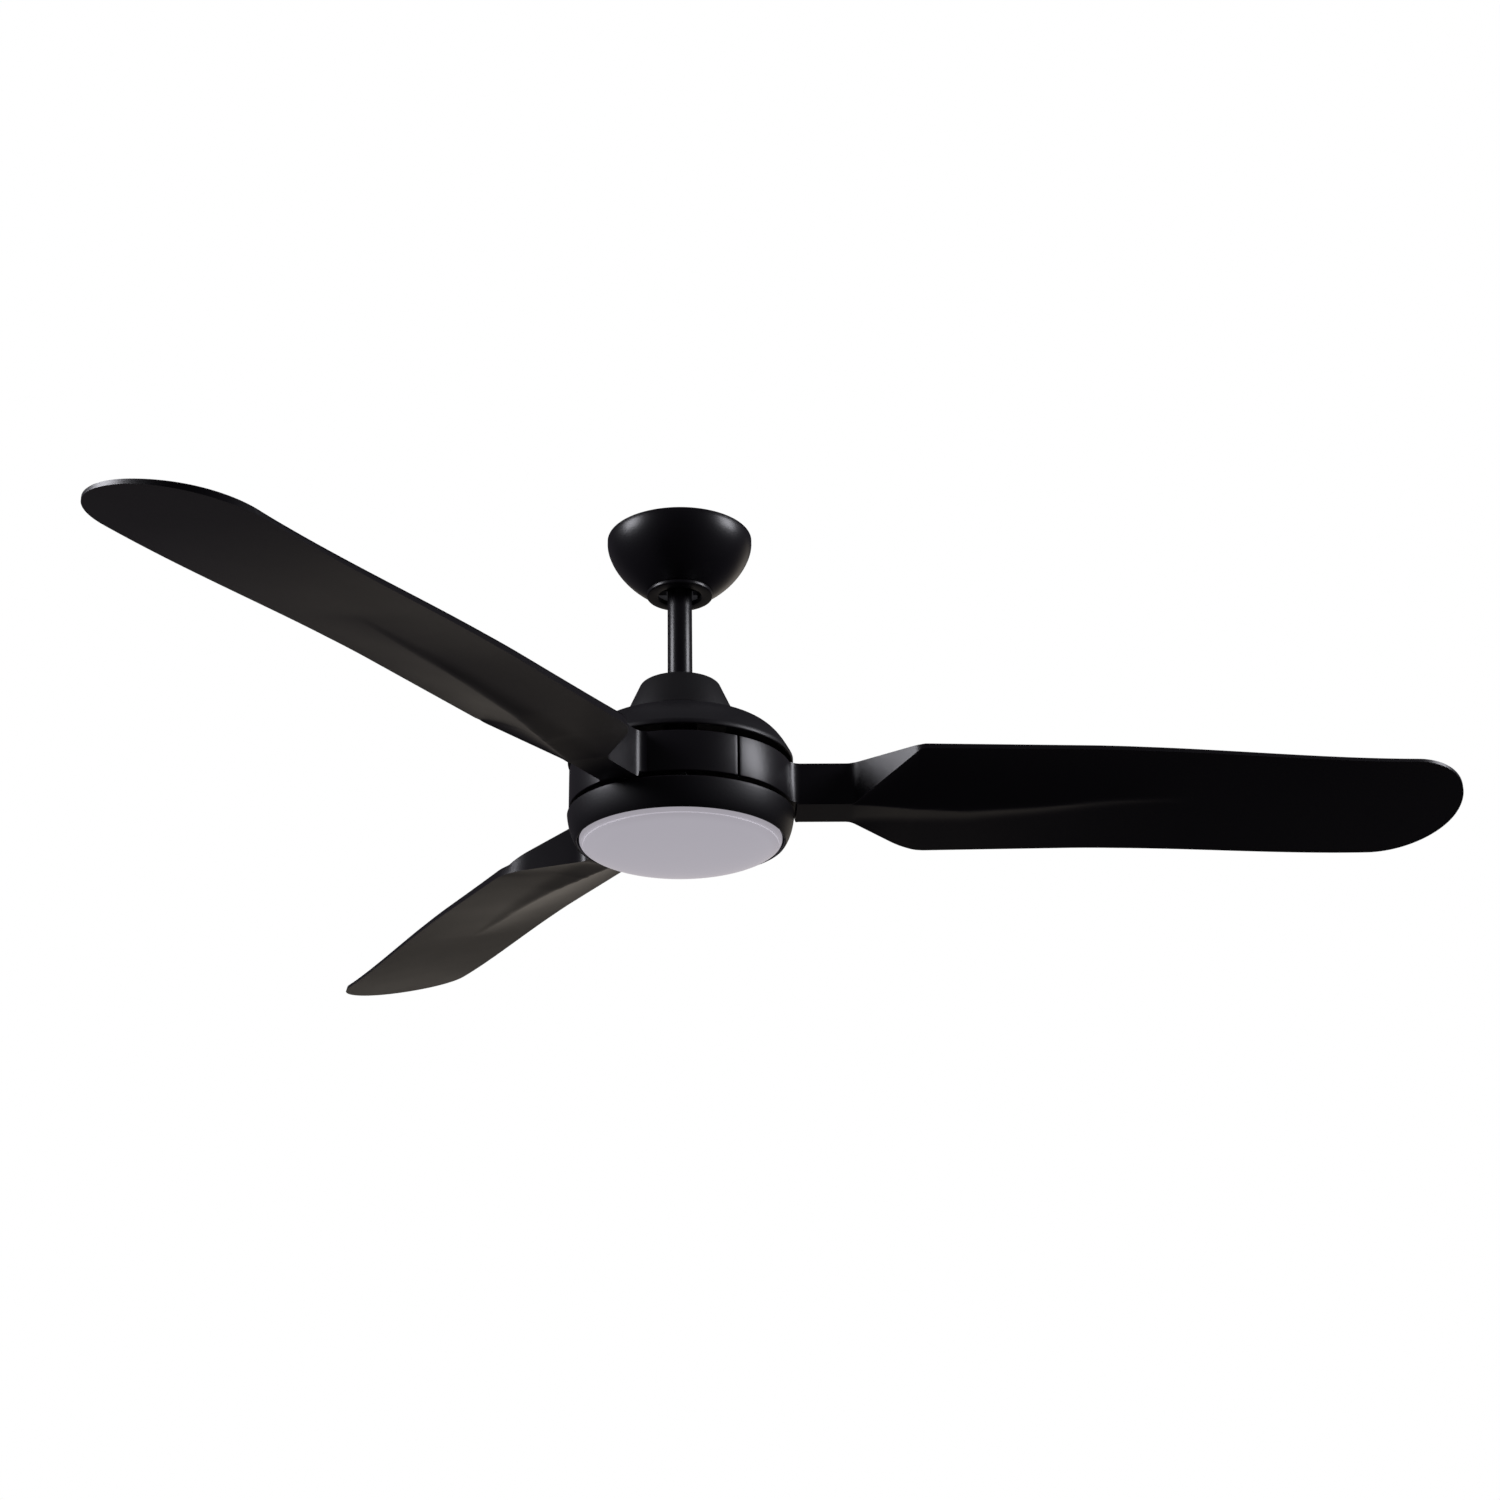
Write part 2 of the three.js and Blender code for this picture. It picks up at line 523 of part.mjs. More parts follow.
// The upper cover: a gentle slope out from the cone, a rounded shoulder and an upright lip.
function upperCover() {
  const slopeEnd = [COVER_RADIUS - 25.6, CONE_FOOT - 12.4];
  const shoulder = new THREE.CubicBezierCurve(
    new THREE.Vector2(...slopeEnd), new THREE.Vector2(COVER_RADIUS - 12.6, 57),
    new THREE.Vector2(COVER_RADIUS - 6, 45), new THREE.Vector2(COVER_RADIUS, COVER_EDGE + 4),
  );
  const outside = shoulder.getPoints(5).map((p) => [p.x, p.y]);
  const inside = outside.map(([r, z]) => [r - COVER_WALL, z - COVER_WALL * 0.9]).reverse();
  const hole = yokeOutside + 3;
  const shell = turned([
    [hole, CONE_FOOT], [CONE_FOOT_RADIUS, CONE_FOOT], ...outside, [COVER_RADIUS, COVER_EDGE],
    [COVER_RADIUS - COVER_WALL, COVER_EDGE], ...inside,
    [CONE_FOOT_RADIUS - 1, CONE_FOOT - COVER_WALL], [hole, CONE_FOOT - COVER_WALL],
  ]);
  const holes = coverScrewAngles.map((a) => at(rod(M4 + GAP, CONE_FOOT - 5, CONE_FOOT + 5, SCREW_SIDES), ...polar(coverScrewRing, a), 0));
  return cut(shell, ...holes);
}
place('upper_cover', upperCover(), BLACK_PAINT);

coverScrewAngles.forEach((a, k) => {
  const screw = panScrew(M4, YOKE_FLANGE + COVER_WALL).rotateX(Math.PI);
  place(`cover_screw_${k + 1}`, at(screw, ...polar(coverScrewRing, a), CONE_FOOT + GAP), ZINC);
});

// ---------------------------------------------------------------- motor
place('motor_shaft', tube(SHAFT_RADIUS, SHAFT_BORE, SHAFT_FOOT, SHAFT_TOP, SMALL_SIDES), ZINC);

const raceInside = SHAFT_RADIUS + GAP;
const upperBearing = ROTOR_TOP - BEARING_WIDTH;
const bearings = { upper: upperBearing, lower: ROTOR_FOOT };
for (const [where, foot] of Object.entries(bearings)) {
  const top = foot + BEARING_WIDTH;
  place(`${where}_bearing_inner_race`, tube(raceInside + RACE_WALL, raceInside, foot, top, SMALL_SIDES), ALLOY);
  place(`${where}_bearing_outer_race`, tube(BEARING_RADIUS, BEARING_RADIUS - RACE_WALL, foot, top, SMALL_SIDES), ALLOY);
}

const boss = BEARING_RADIUS + GAP;
const bossWall = 3.6;
const flangeJoint = ROTOR_FOOT + ROTOR_WALL;
const shellScrewRing = ROTOR_RADIUS + ROTOR_RIM / 2 + 0.2;
const shellScrewAngles = thirds(0);
const bladeAngles = Array.from({ length: BLADES }, (_, k) => (360 / BLADES) * k);
const bladeScrewAngles = bladeAngles.flatMap((a) => [a - BLADE_SCREW_ANGLE, a + BLADE_SCREW_ANGLE]);
const drill = (angles, ring, radius, foot, top) =>
  angles.map((a) => at(rod(radius + GAP, foot, top, SCREW_SIDES), ...polar(ring, a), 0));

function rotorTopShell() {
  const rimFoot = flangeJoint + GAP;
  const wallInside = ROTOR_RADIUS - ROTOR_WALL;
  const body = turned([
    [boss, ROTOR_TOP], [ROTOR_RADIUS - 2, ROTOR_TOP], [ROTOR_RADIUS, ROTOR_TOP - 2],
    [ROTOR_RADIUS, rimFoot + ROTOR_WALL], [ROTOR_RADIUS + ROTOR_RIM, rimFoot + ROTOR_WALL],
    [ROTOR_RADIUS + ROTOR_RIM, rimFoot], [wallInside, rimFoot], [wallInside, ROTOR_TOP - ROTOR_WALL],
    [boss + bossWall, ROTOR_TOP - ROTOR_WALL], [boss + bossWall, upperBearing], [boss, upperBearing],
  ]);
  return cut(body, ...drill(shellScrewAngles, shellScrewRing, M3, rimFoot - 1, rimFoot + ROTOR_WALL + 1));
}
place('rotor_top_shell', rotorTopShell(), ALLOY);

function rotorBottomShell() {
  const bossTop = ROTOR_FOOT + BEARING_WIDTH;
  const body = turned([
    [boss, ROTOR_FOOT], [ROTOR_FLANGE_RADIUS, ROTOR_FOOT], [ROTOR_FLANGE_RADIUS, flangeJoint],
    [boss + bossWall, flangeJoint], [boss + bossWall, bossTop], [boss, bossTop],
  ]);
  const holes = drill(shellScrewAngles, shellScrewRing, M3, ROTOR_FOOT - 1, flangeJoint + 1);
  const bladeHoles = drill(bladeScrewAngles, BLADE_SCREW_RING, M4, ROTOR_FOOT - 1, flangeJoint + 1);
  return cut(body, ...holes, ...bladeHoles);
}
place('rotor_bottom_shell', rotorBottomShell(), ALLOY);

shellScrewAngles.forEach((a, k) => {
  const screw = panScrew(M3, 2 * ROTOR_WALL);
  place(`rotor_screw_${k + 1}`, at(screw, ...polar(shellScrewRing, a), ROTOR_FOOT - GAP), ZINC);
});

const magnetOutside = ROTOR_RADIUS - ROTOR_WALL - GAP;
const magnetInside = magnetOutside - MAGNET;
place('magnet_ring', tube(magnetOutside, magnetInside, MAGNET_FOOT, MAGNET_TOP, BIG_SIDES), MAGNET_GREY);

const stackOutside = magnetInside - AIR_GAP;
const slotAngles = Array.from({ length: TEETH }, (_, k) => (360 / TEETH) * (k + 0.5));
function statorCore() {
  const eye = boss + bossWall + 1.5;
  const hubTop = upperBearing - 1.5;
  const hubFoot = ROTOR_FOOT + BEARING_WIDTH + 1.5;
  const body = turned([
    [raceInside, hubFoot], [eye, hubFoot], [eye, STACK_FOOT], [stackOutside, STACK_FOOT],
    [stackOutside, STACK_TOP], [eye, STACK_TOP], [eye, hubTop], [raceInside, hubTop],
  ]);
  const slots = slotAngles.map((a) => {
    const slot = block([TOOTH_ROOT_RADIUS + 4, stackOutside + 5], [-SLOT_WIDTH / 2, SLOT_WIDTH / 2], [-20, 20]);
    return slot.rotateZ(radians(a));
  });
  return cut(body, ...slots);
}
place('stator_core', statorCore(), LAMINATION);

// End turns of the windings: a rib over every tooth, tied together by a ring round their roots.
function endTurns(foot, top) {
  const ring = tube(TOOTH_ROOT_RADIUS + 6, TOOTH_ROOT_RADIUS, foot, top, BIG_SIDES);
  const ribs = slotAngles.map((a) => {
    const rib = block([TOOTH_ROOT_RADIUS + 3, stackOutside - 6], [-4.5, 4.5], [foot, top]);
    return rib.rotateZ(radians(a + 180 / TEETH));
  });
  return join(ring, ...ribs);
}
place('upper_end_turns', endTurns(STACK_TOP + GAP, STACK_TOP + 5.2), COPPER);
place('lower_end_turns', endTurns(STACK_FOOT - 5.2, STACK_FOOT - GAP), COPPER);

// ---------------------------------------------------------------- blades
const softMin = (a, b, reach) => {
  const near = Math.max(reach - Math.abs(a - b), 0) / reach;
  return Math.min(a, b) - (near * near * reach) / 4;
};
const softMax = (a, b, reach) => -softMin(-a, -b, reach);
const tipLeadingRun = 63;          // length of the rounded tip on each side
const tipTrailingRun = 72;
const tipMiddle = 4.7;               // the tip's furthest point, towards the leading side
const neckStart = RING_RADIUS - RING_WALL - 1.5;
const neckFlareEnd = RING_RADIUS + 12;

// Half width on one side of the blade's radial line, at a radius.
function halfWidth(r, neck, wing, taper, tipRun, tipFull, flare, corner) {
  const tipStart = BLADE_TIP_RADIUS - tipRun;
  if (r > tipStart) {
    const share = Math.min(1, (r - tipStart) / tipRun);
    return tipFull * Math.sqrt(1 - share * share);
  }
  const shoulder = neck + (wing - neck) * ((r - NECK_END + 4) / (WING_START - NECK_END + 4));
  const edge = wing + (taper * (r - WING_START)) / (tipStart - WING_START);
  const root = r < neckFlareEnd ? flare * (1 - (r - RING_RADIUS) / 12) ** 2 : 0;
  return softMin(softMax(neck, shoulder, 8), edge, corner) + Math.min(root, flare);
}
const leadingWidth = (r) => halfWidth(r, NECK_LEADING, WING_LEADING, 0.8, tipLeadingRun, WING_LEADING + 0.8 - tipMiddle, 5, 6)
  + (r > BLADE_TIP_RADIUS - tipLeadingRun ? tipMiddle : 0);
const trailingWidth = (r) => halfWidth(r, NECK_TRAILING, WING_TRAILING, -12.6, tipTrailingRun, WING_TRAILING - 12.6 + tipMiddle, 7, 20)
  - (r > BLADE_TIP_RADIUS - tipTrailingRun ? tipMiddle : 0);

// Heights of a section: underside and thickness at the leading edge, the ridge and the trailing edge.
function bladeHeights(r) {
  const span = BLADE_TIP_RADIUS - WING_START;
  const out = THREE.MathUtils.clamp((r - WING_START) / span, 0, 1);
  const shoulder = THREE.MathUtils.clamp((r - NECK_END) / SHOULDER_LENGTH, 0, 1);
  const slope = Math.tan(radians(lerp(ROOT_PITCH, TIP_PITCH, out)));
  const middle = BLADE_MIDDLE - 1.8 * Math.min(1, out / 0.4) - BLADE_DROOP * smoothstep(out, 0.3, 0.88);
  const crease = 1 - THREE.MathUtils.clamp((r - NECK_END - 27) / (RIDGE_LENGTH - 27), 0, 1);
  const wide = Math.max(r, WING_START);
  const leading = lerp(RING_FOOT, middle + slope * leadingWidth(wide), shoulder);
  const trailing = lerp(RING_FOOT, middle - slope * trailingWidth(wide), shoulder);
  const crest = lerp(RING_FOOT, middle - RIDGE_DEPTH * crease, smoothstep(r, NECK_END, NECK_END + 30));
  const full = RING_TOP - RING_FOOT;
  return {
    leading, trailing, crest,
    leadingThick: lerp(full, lerp(4.8, 2.8, out), shoulder),
    trailingThick: lerp(full, lerp(8.5, 3, Math.sqrt(out)), shoulder),
    crestThick: lerp(lerp(12, 4, Math.sqrt(out)), full, 1 - smoothstep(r, NECK_END, NECK_END + 122)),
    hollow: 1 + 0.9 * smoothstep(shoulder, 0, 0.5) * (1 - smoothstep(r, 200, 440)),
  };
}

// One closed outline across the blade: along the underside, then back over the top.
function bladeSection(r, steps) {
  const h = bladeHeights(r);
  const [lead, trail] = [-leadingWidth(r), trailingWidth(r)];
  const heart = -tipMiddle * smoothstep(r, BLADE_TIP_RADIUS - 200, BLADE_TIP_RADIUS);
  const under = [];
  const over = [];
  const half = steps / 2;
  for (let i = 0; i <= steps; i++) {
    const front = i <= half;
    const share = front ? i / half : (i - half) / half;
    const y = front ? lerp(lead, heart, share) : lerp(heart, trail, share);
    const z = front ? lerp(h.leading, h.crest, share ** h.hollow) : lerp(h.crest, h.trailing, share);
    const thick = front ? lerp(h.leadingThick, h.crestThick, smoothstep(share, 0, 1))
      : lerp(h.crestThick, h.trailingThick, smoothstep(share, 0, 1));
    under.push(new THREE.Vector3(r, y, z));
    over.unshift(new THREE.Vector3(r, y, Math.min(RING_TOP, z + thick)));
  }
  return [...under, ...over];
}

// A skin over a row of outlines with the same number of points, closed by a fan at each end.
function loft(sections) {
  const points = sections.flat();
  const around = sections[0].length;
  const index = [];
  for (let s = 0; s + 1 < sections.length; s++) {
    for (let i = 0; i < around; i++) {
      const j = (i + 1) % around;
      const [a, b] = [s * around + i, s * around + j];
      index.push(a, b, a + around, b, b + around, a + around);
    }
  }
  const caps = [0, sections.length - 1].map((s) => {
    const middle = new THREE.Vector3();
    sections[s].forEach((p) => middle.addScaledVector(p, 1 / around));
    points.push(middle);
    return { first: s * around, hub: points.length - 1, far: s > 0 };
  });
  for (const { first, hub, far } of caps) {
    for (let i = 0; i < around; i++) {
      const [a, b] = [first + i, first + ((i + 1) % around)];
      if (far) index.push(hub, a, b);
      else index.push(hub, b, a);
    }
  }
  const geometry = new THREE.BufferGeometry().setFromPoints(points);
  geometry.setIndex(index);
  return geometry;
}

function bladeStations() {
  const neck = [neckStart, RING_RADIUS, RING_RADIUS + 4, neckFlareEnd, NECK_END - 8];
  const shoulder = [0, 7, 15, 24, 34, 44, 53, 61, 72].map((step) => NECK_END + step);
  const tipStart = BLADE_TIP_RADIUS - tipTrailingRun;
  const wing = [0.1, 0.2, 0.3, 0.43, 0.6, 0.8].map((share) => lerp(WING_START, tipStart, share));
  const tip = [];
  for (let turn = 90; turn > 5; turn -= 14) {
    tip.push(tipStart + tipTrailingRun * Math.cos(radians(turn)));
  }
  return [...neck, ...shoulder, ...wing, ...tip];
}

function blade() {
  const skin = loft(bladeStations().map((r) => bladeSection(r, 6)));
  const reach = 180 / BLADES;
  const wall = tube(RING_RADIUS, RING_RADIUS - RING_WALL, RING_FOOT, RING_TOP, 48);
  const flangeFoot = flangeJoint + GAP;
  const flange = tube(RING_RADIUS - 1, ROOT_FLANGE_RADIUS, flangeFoot, flangeFoot + ROOT_FLANGE, 48);
  const wallCut = radians(reach) - RING_SEAM / 2 / RING_RADIUS;
  const sector = slice(join(wall, flange), -THREE.MathUtils.radToDeg(wallCut), THREE.MathUtils.radToDeg(wallCut));
  const holes = drill([-BLADE_SCREW_ANGLE, BLADE_SCREW_ANGLE], BLADE_SCREW_RING, M4, flangeFoot - 1, flangeFoot + ROOT_FLANGE + 1);
  return cut(join(sector, skin), ...holes);
}

bladeAngles.forEach((angle, k) => {
  const root = new THREE.Group();
  root.rotation.z = radians(angle);
  motorLevel.add(root);
  place(`blade_${k + 1}`, blade(), BLACK_PLASTIC, root);
  [-BLADE_SCREW_ANGLE, BLADE_SCREW_ANGLE].forEach((a, side) => {
    const screw = panScrew(M4, ROTOR_WALL + ROOT_FLANGE);
    place(`blade_screw_${k + 1}${'ab'[side]}`, at(screw, ...polar(BLADE_SCREW_RING, a), ROTOR_FOOT - GAP), ZINC, root);
  });
});

// ---------------------------------------------------------------- light
const plateFoot = PLATE_TOP - PLATE;
const housingScrewRing = 55;
const housingScrewAngles = thirds(90);
function lightMountPlate() {
  const body = tube(PLATE_RADIUS, SHAFT_RADIUS + GAP, plateFoot, PLATE_TOP);
  return cut(body, ...drill(housingScrewAngles, housingScrewRing, M4, plateFoot - 1, PLATE_TOP + 1));
}
place('light_mount_plate', lightMountPlate(), ZINC);

function shaftNut() {
  const nut = new THREE.CylinderGeometry(13, 13, 5, 6).rotateX(Math.PI / 2);
  return cut(nut, rod(SHAFT_RADIUS + GAP, -5, 5)).translate(0, 0, plateFoot - GAP - 2.5);
}
place('shaft_nut', shaftNut(), ZINC);

// The housing's side: upright at the top, then an elliptical turn in to the mouth.
function housingSide(wall, steps) {
  const upright = -29;
  const centre = HOUSING_RADIUS - 17.5 + wall * 0.2;
  const reach = HOUSING_RADIUS - wall - centre;
  const depth = 25.5 - wall * 0.4;
  const foot = HOUSING_FOOT + wall;
  const last = Math.asin(Math.min(1, (upright - foot) / depth));
  return Array.from({ length: steps + 1 }, (_, i) => {
    const angle = last * (i / steps);
    return [centre + reach * Math.cos(angle), upright - depth * Math.sin(angle)];
  });
}

const deckTop = HOUSING_TOP + 0.6;
const deckFoot = deckTop - HOUSING_WALL;
const tabFoot = TAB_TOP - LUG;
const tabAngles = thirds(0);
const postAngles = thirds(30);
function lowerHousing() {
  const deckHole = 30;
  const inner = HOUSING_RADIUS - HOUSING_WALL;
  const body = turned([
    [deckHole, deckTop - 1.4], [inner - 6, deckTop - 1.4], [inner - 3, HOUSING_TOP], [HOUSING_RADIUS, HOUSING_TOP],
    ...housingSide(0, 5), [HOUSING_MOUTH, HOUSING_FOOT], [HOUSING_MOUTH, HOUSING_FOOT + 2.6],
    ...housingSide(HOUSING_WALL, 3).reverse(), [inner, deckFoot - 1.4], [deckHole, deckFoot - 1.4],
  ]);
  const tabs = tabAngles.map((a) => {
    const ring = tube(HOUSING_RADIUS - 6.5, LENS_RADIUS - 0.8, tabFoot, TAB_TOP, 48);
    return slice(ring, a - LUG_ARC / 2, a + LUG_ARC / 2);
  });
  const posts = postAngles.map((a) => at(rod(POST_RADIUS, LED_BOARD_TOP + GAP, deckFoot, 12), ...polar(POST_RING, a), 0));
  const screwHoles = drill(housingScrewAngles, housingScrewRing, M4, deckFoot - 4, deckTop + 1);
  const pilots = drill(postAngles, POST_RING, M3, LED_BOARD_TOP - 1, LED_BOARD_TOP + 7);
  return cut(join(body, ...tabs, ...posts), ...screwHoles, ...pilots);
}
place('lower_housing', lowerHousing(), BLACK_PAINT);

housingScrewAngles.forEach((a, k) => {
  const screw = panScrew(M4, 6);
  place(`housing_screw_${k + 1}`, at(screw, ...polar(housingScrewRing, a), deckFoot - 1.4 - GAP), ZINC);
});

const bayFoot = LED_BOARD_TOP + 2;
place('led_driver', block([-36, 36], [-58, -20], [bayFoot, deckFoot - 4.4]), WHITE_PLASTIC);
place('light_connector', block([-12, 12], [16, 28], [bayFoot + 2, bayFoot + 10]), WHITE_PLASTIC);

function ledBoard() {
  const foot = LED_BOARD_TOP - LED_BOARD;
  const disc = rod(LED_BOARD_RADIUS, foot, LED_BOARD_TOP, BIG_SIDES);
  const rings = [[6, 30, 0], [12, 62, 15]];
  const chips = rings.flatMap(([count, ring, start]) => Array.from({ length: count }, (_, i) => {
    const [x, y] = polar(ring, start + (360 / count) * i);
    return block([x - 1.8, x + 1.8], [y - 1.8, y + 1.8], [foot - 0.8, foot + 0.5]);
  }));
  const holes = drill(postAngles, POST_RING, M3, foot - 1, LED_BOARD_TOP + 1);
  return cut(join(disc, ...chips), ...holes);
}
place('led_board', ledBoard(), WHITE_PLASTIC);

postAngles.forEach((a, k) => {
  const screw = panScrew(M3, 6);
  place(`led_screw_${k + 1}`, at(screw, ...polar(POST_RING, a), LED_BOARD_TOP - LED_BOARD - GAP), ZINC);
});

// The lens: a shallow opal dome with an upright collar, whose lugs lock above the housing's tabs.
function diffuserLens() {
  const steps = 6;
  const dome = (radius, edge, depth) => Array.from({ length: steps + 1 }, (_, i) => {
    const angle = (Math.PI / 2) * (i / steps);
    return [i === 0 ? 0 : radius * Math.sin(angle), edge - depth * Math.cos(angle)];
  });
  const outside = dome(LENS_RADIUS, LENS_EDGE, LENS_DEPTH);
  const collar = LENS_RADIUS - 4.2;
  const inside = dome(collar - LENS_WALL, LENS_EDGE, LENS_DEPTH - LENS_WALL).reverse();
  const body = turned([
    ...outside, [LENS_RADIUS, LENS_EDGE + 1.2], [collar, LENS_EDGE + 1.2], [collar, LENS_COLLAR_TOP],
    [collar - LENS_WALL, LENS_COLLAR_TOP], ...inside,
  ]);
  const lugs = tabAngles.map((a) => {
    const foot = TAB_TOP + GAP;
    const ring = tube(LENS_RADIUS + 1.6, collar - 1, foot, foot + LUG, 48);
    return slice(ring, a - LUG_ARC / 2, a + LUG_ARC / 2);
  });
  return join(body, ...lugs);
}
place('diffuser_lens', diffuserLens(), OPAL);

export default fan;
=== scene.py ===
# %% [markdown]
# # A black three-blade ceiling fan with a round light
#
# The fan hangs from a ball in a bracket under the ceiling. A short rod carries a flat motor,
# the motor turns a ring of three moulded blades, and a lit housing with an opal lens closes
# the fan from below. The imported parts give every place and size, and this lesson builds the
# surfaces that are seen: turned shells, moulded blades, and a finish for each material.

# %% Load the parts that everything is fitted to
import json
import math

import bmesh
import bpy
from mathutils import Matrix, Vector


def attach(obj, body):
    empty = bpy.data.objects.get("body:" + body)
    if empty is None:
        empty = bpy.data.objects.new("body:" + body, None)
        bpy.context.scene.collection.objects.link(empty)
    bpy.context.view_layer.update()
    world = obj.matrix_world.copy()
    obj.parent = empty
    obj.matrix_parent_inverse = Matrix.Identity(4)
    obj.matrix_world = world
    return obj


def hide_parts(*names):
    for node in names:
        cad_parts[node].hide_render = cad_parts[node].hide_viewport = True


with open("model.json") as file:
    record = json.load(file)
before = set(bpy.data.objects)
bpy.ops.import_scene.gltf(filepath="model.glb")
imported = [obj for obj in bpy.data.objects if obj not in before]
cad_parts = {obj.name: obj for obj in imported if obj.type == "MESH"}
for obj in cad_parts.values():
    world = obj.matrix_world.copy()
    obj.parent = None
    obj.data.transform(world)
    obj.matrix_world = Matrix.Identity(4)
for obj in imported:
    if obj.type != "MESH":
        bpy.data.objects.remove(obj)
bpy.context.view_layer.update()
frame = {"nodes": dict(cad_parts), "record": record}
MM = 0.001
RING = -280.5 * MM

# %% [markdown]
# ## Camera
# The fan is seen from below and in front, as somebody standing in the room sees it. The
# camera stands level with the lower part of the room and looks up by about 22 degrees. A long
# lens keeps the blades' tips from stretching, and a small sideways shift frames the blades
# without turning the camera.

# %% Camera
LOOK_UP = 21.791
ROLL = -0.237
camera_data = bpy.data.cameras.new("camera")
camera_data.lens = 49.76
camera_data.sensor_width = 36
camera_data.shift_x = 0.0464
camera_data.shift_y = 0.0059
camera = bpy.data.objects.new("camera", camera_data)
camera.location = (0, -1.91027, -1.00702)
tilt = Matrix.Rotation(math.radians(90 + LOOK_UP), 4, "X")
roll = Matrix.Rotation(math.radians(ROLL), 4, "Z")
camera.rotation_euler = (tilt @ roll).to_euler()
bpy.context.scene.collection.objects.link(camera)
bpy.context.scene.camera = camera
print("camera at", tuple(round(c, 3) for c in camera.location))

# %% [markdown]
# ## Arithmetic on shader sockets
# A node material is a small program. Written node by node it is long to read, so one class
# wraps an output socket and lets it be added, multiplied and raised to a power like a number.
# A second class wraps the material's node tree and makes every other kind of node with one
# method: its type and settings first, then its inputs, which may be numbers or other sockets.


# %% Sockets that can be used in sums
class Signal:
    """An output socket of a shader, usable in ordinary arithmetic."""

    def __init__(self, recipe, socket):
        self.recipe = recipe
        self.socket = socket

    def sum_node(self, operation, *terms):
        return self.recipe.node("ShaderNodeMath", {"operation": operation}, *terms)

    def __add__(self, other):
        return self.sum_node("ADD", self, other)

    __radd__ = __add__

    def __sub__(self, other):
        return self.sum_node("SUBTRACT", self, other)

    def __rsub__(self, other):
        return self.sum_node("SUBTRACT", other, self)

    def __mul__(self, other):
        return self.sum_node("MULTIPLY", self, other)

    __rmul__ = __mul__

    def __pow__(self, other):
        return self.sum_node("POWER", self, other)

    def ramp(self, low, high):
        """0 below low, 1 above high, and smooth between them."""
        settings = {"interpolation_type": "SMOOTHSTEP"}
        return self.recipe.node("ShaderNodeMapRange", settings, self, low, high, 0.0, 1.0)


class Recipe:
    """A node tree that is written as a list of calls."""

    def __init__(self, tree):
        self.tree = tree
        tree.nodes.clear()

    def node(self, kind, settings=None, *values, out=None, **named):
        made = self.tree.nodes.new(kind)
        for key, value in (settings or {}).items():
            setattr(made, key, value)
        for socket, value in zip(made.inputs, values):
            self.join(value, socket)
        for name, value in named.items():
            self.join(value, made.inputs[name.replace("_", " ")])
        open_sockets = [s for s in made.outputs if s.enabled]
        chosen = made.outputs[out] if out else (open_sockets[0] if open_sockets else None)
        return Signal(self, chosen) if chosen else made

    def join(self, value, socket):
        if isinstance(value, Signal):
            self.tree.links.new(value.socket, socket)
        elif value is not None:
            socket.default_value = value

    def blend(self, low, high, factor):
        made = self.tree.nodes.new("ShaderNodeMix")
        made.data_type = "RGBA"
        self.join(factor, made.inputs["Factor"])
        colours = [s for s in made.inputs if s.type == "RGBA"]
        self.join(low, colours[0])
        self.join(high, colours[1])
        result = [s for s in made.outputs if s.type == "RGBA"][0]
        return Signal(self, result)

    def spot(self, stretch=(1, 1, 1)):
        place = self.node("ShaderNodeTexCoord", {}, out="Object")
        if stretch == (1, 1, 1):
            return place
        return self.node("ShaderNodeVectorMath", {"operation": "MULTIPLY"}, place, stretch)

    def grain(self, scale, detail=2.0, stretch=(1, 1, 1), roughness=0.5):
        return self.node(
            "ShaderNodeTexNoise", {}, out="Fac",
            Vector=self.spot(stretch), Scale=scale, Detail=detail, Roughness=roughness,
        )

    def bump(self, height, distance):
        return self.node("ShaderNodeBump", {}, Strength=1.0, Distance=distance, Height=height)

    def parts_of(self, vector):
        """The X, Y and Z of a vector, each as a signal of its own."""
        first = self.node("ShaderNodeSeparateXYZ", {}, vector, out="X")
        outputs = first.socket.node.outputs
        return [Signal(self, outputs[axis]) for axis in "XYZ"]

    def surface(self, **named):
        shader = self.node("ShaderNodeBsdfPrincipled", {}, **named)
        self.node("ShaderNodeOutputMaterial", {}, shader)


def shades(colour, dark, light):
    """Two RGBA values, one a little darker and one a little lighter than a colour."""
    return [tuple(min(1, c * factor) for c in colour) + (1,) for factor in (dark, light)]


def recipe_for(name):
    material = bpy.data.materials.new(name)
    material.use_nodes = True
    return material, Recipe(material.node_tree)


print("shader arithmetic ready")

# %% [markdown]
# ## Studio: a white backdrop, a pale floor and two side lights
# Black satin shows only what it reflects, so the lights are placed for their reflections. Two
# soft boxes stand left and right, a little above the fan, and give each round part a pair of
# upright bands. The backdrop is white to look at but reflects only softly: a low wall of light
# behind the fan, brightest at the horizon, so it creeps along blades that are seen at a low
# angle. Everywhere else the room is dim, which keeps the undersides deep black. The floor
# glows by itself and lights nothing, so it stays pale without filling the shadows.

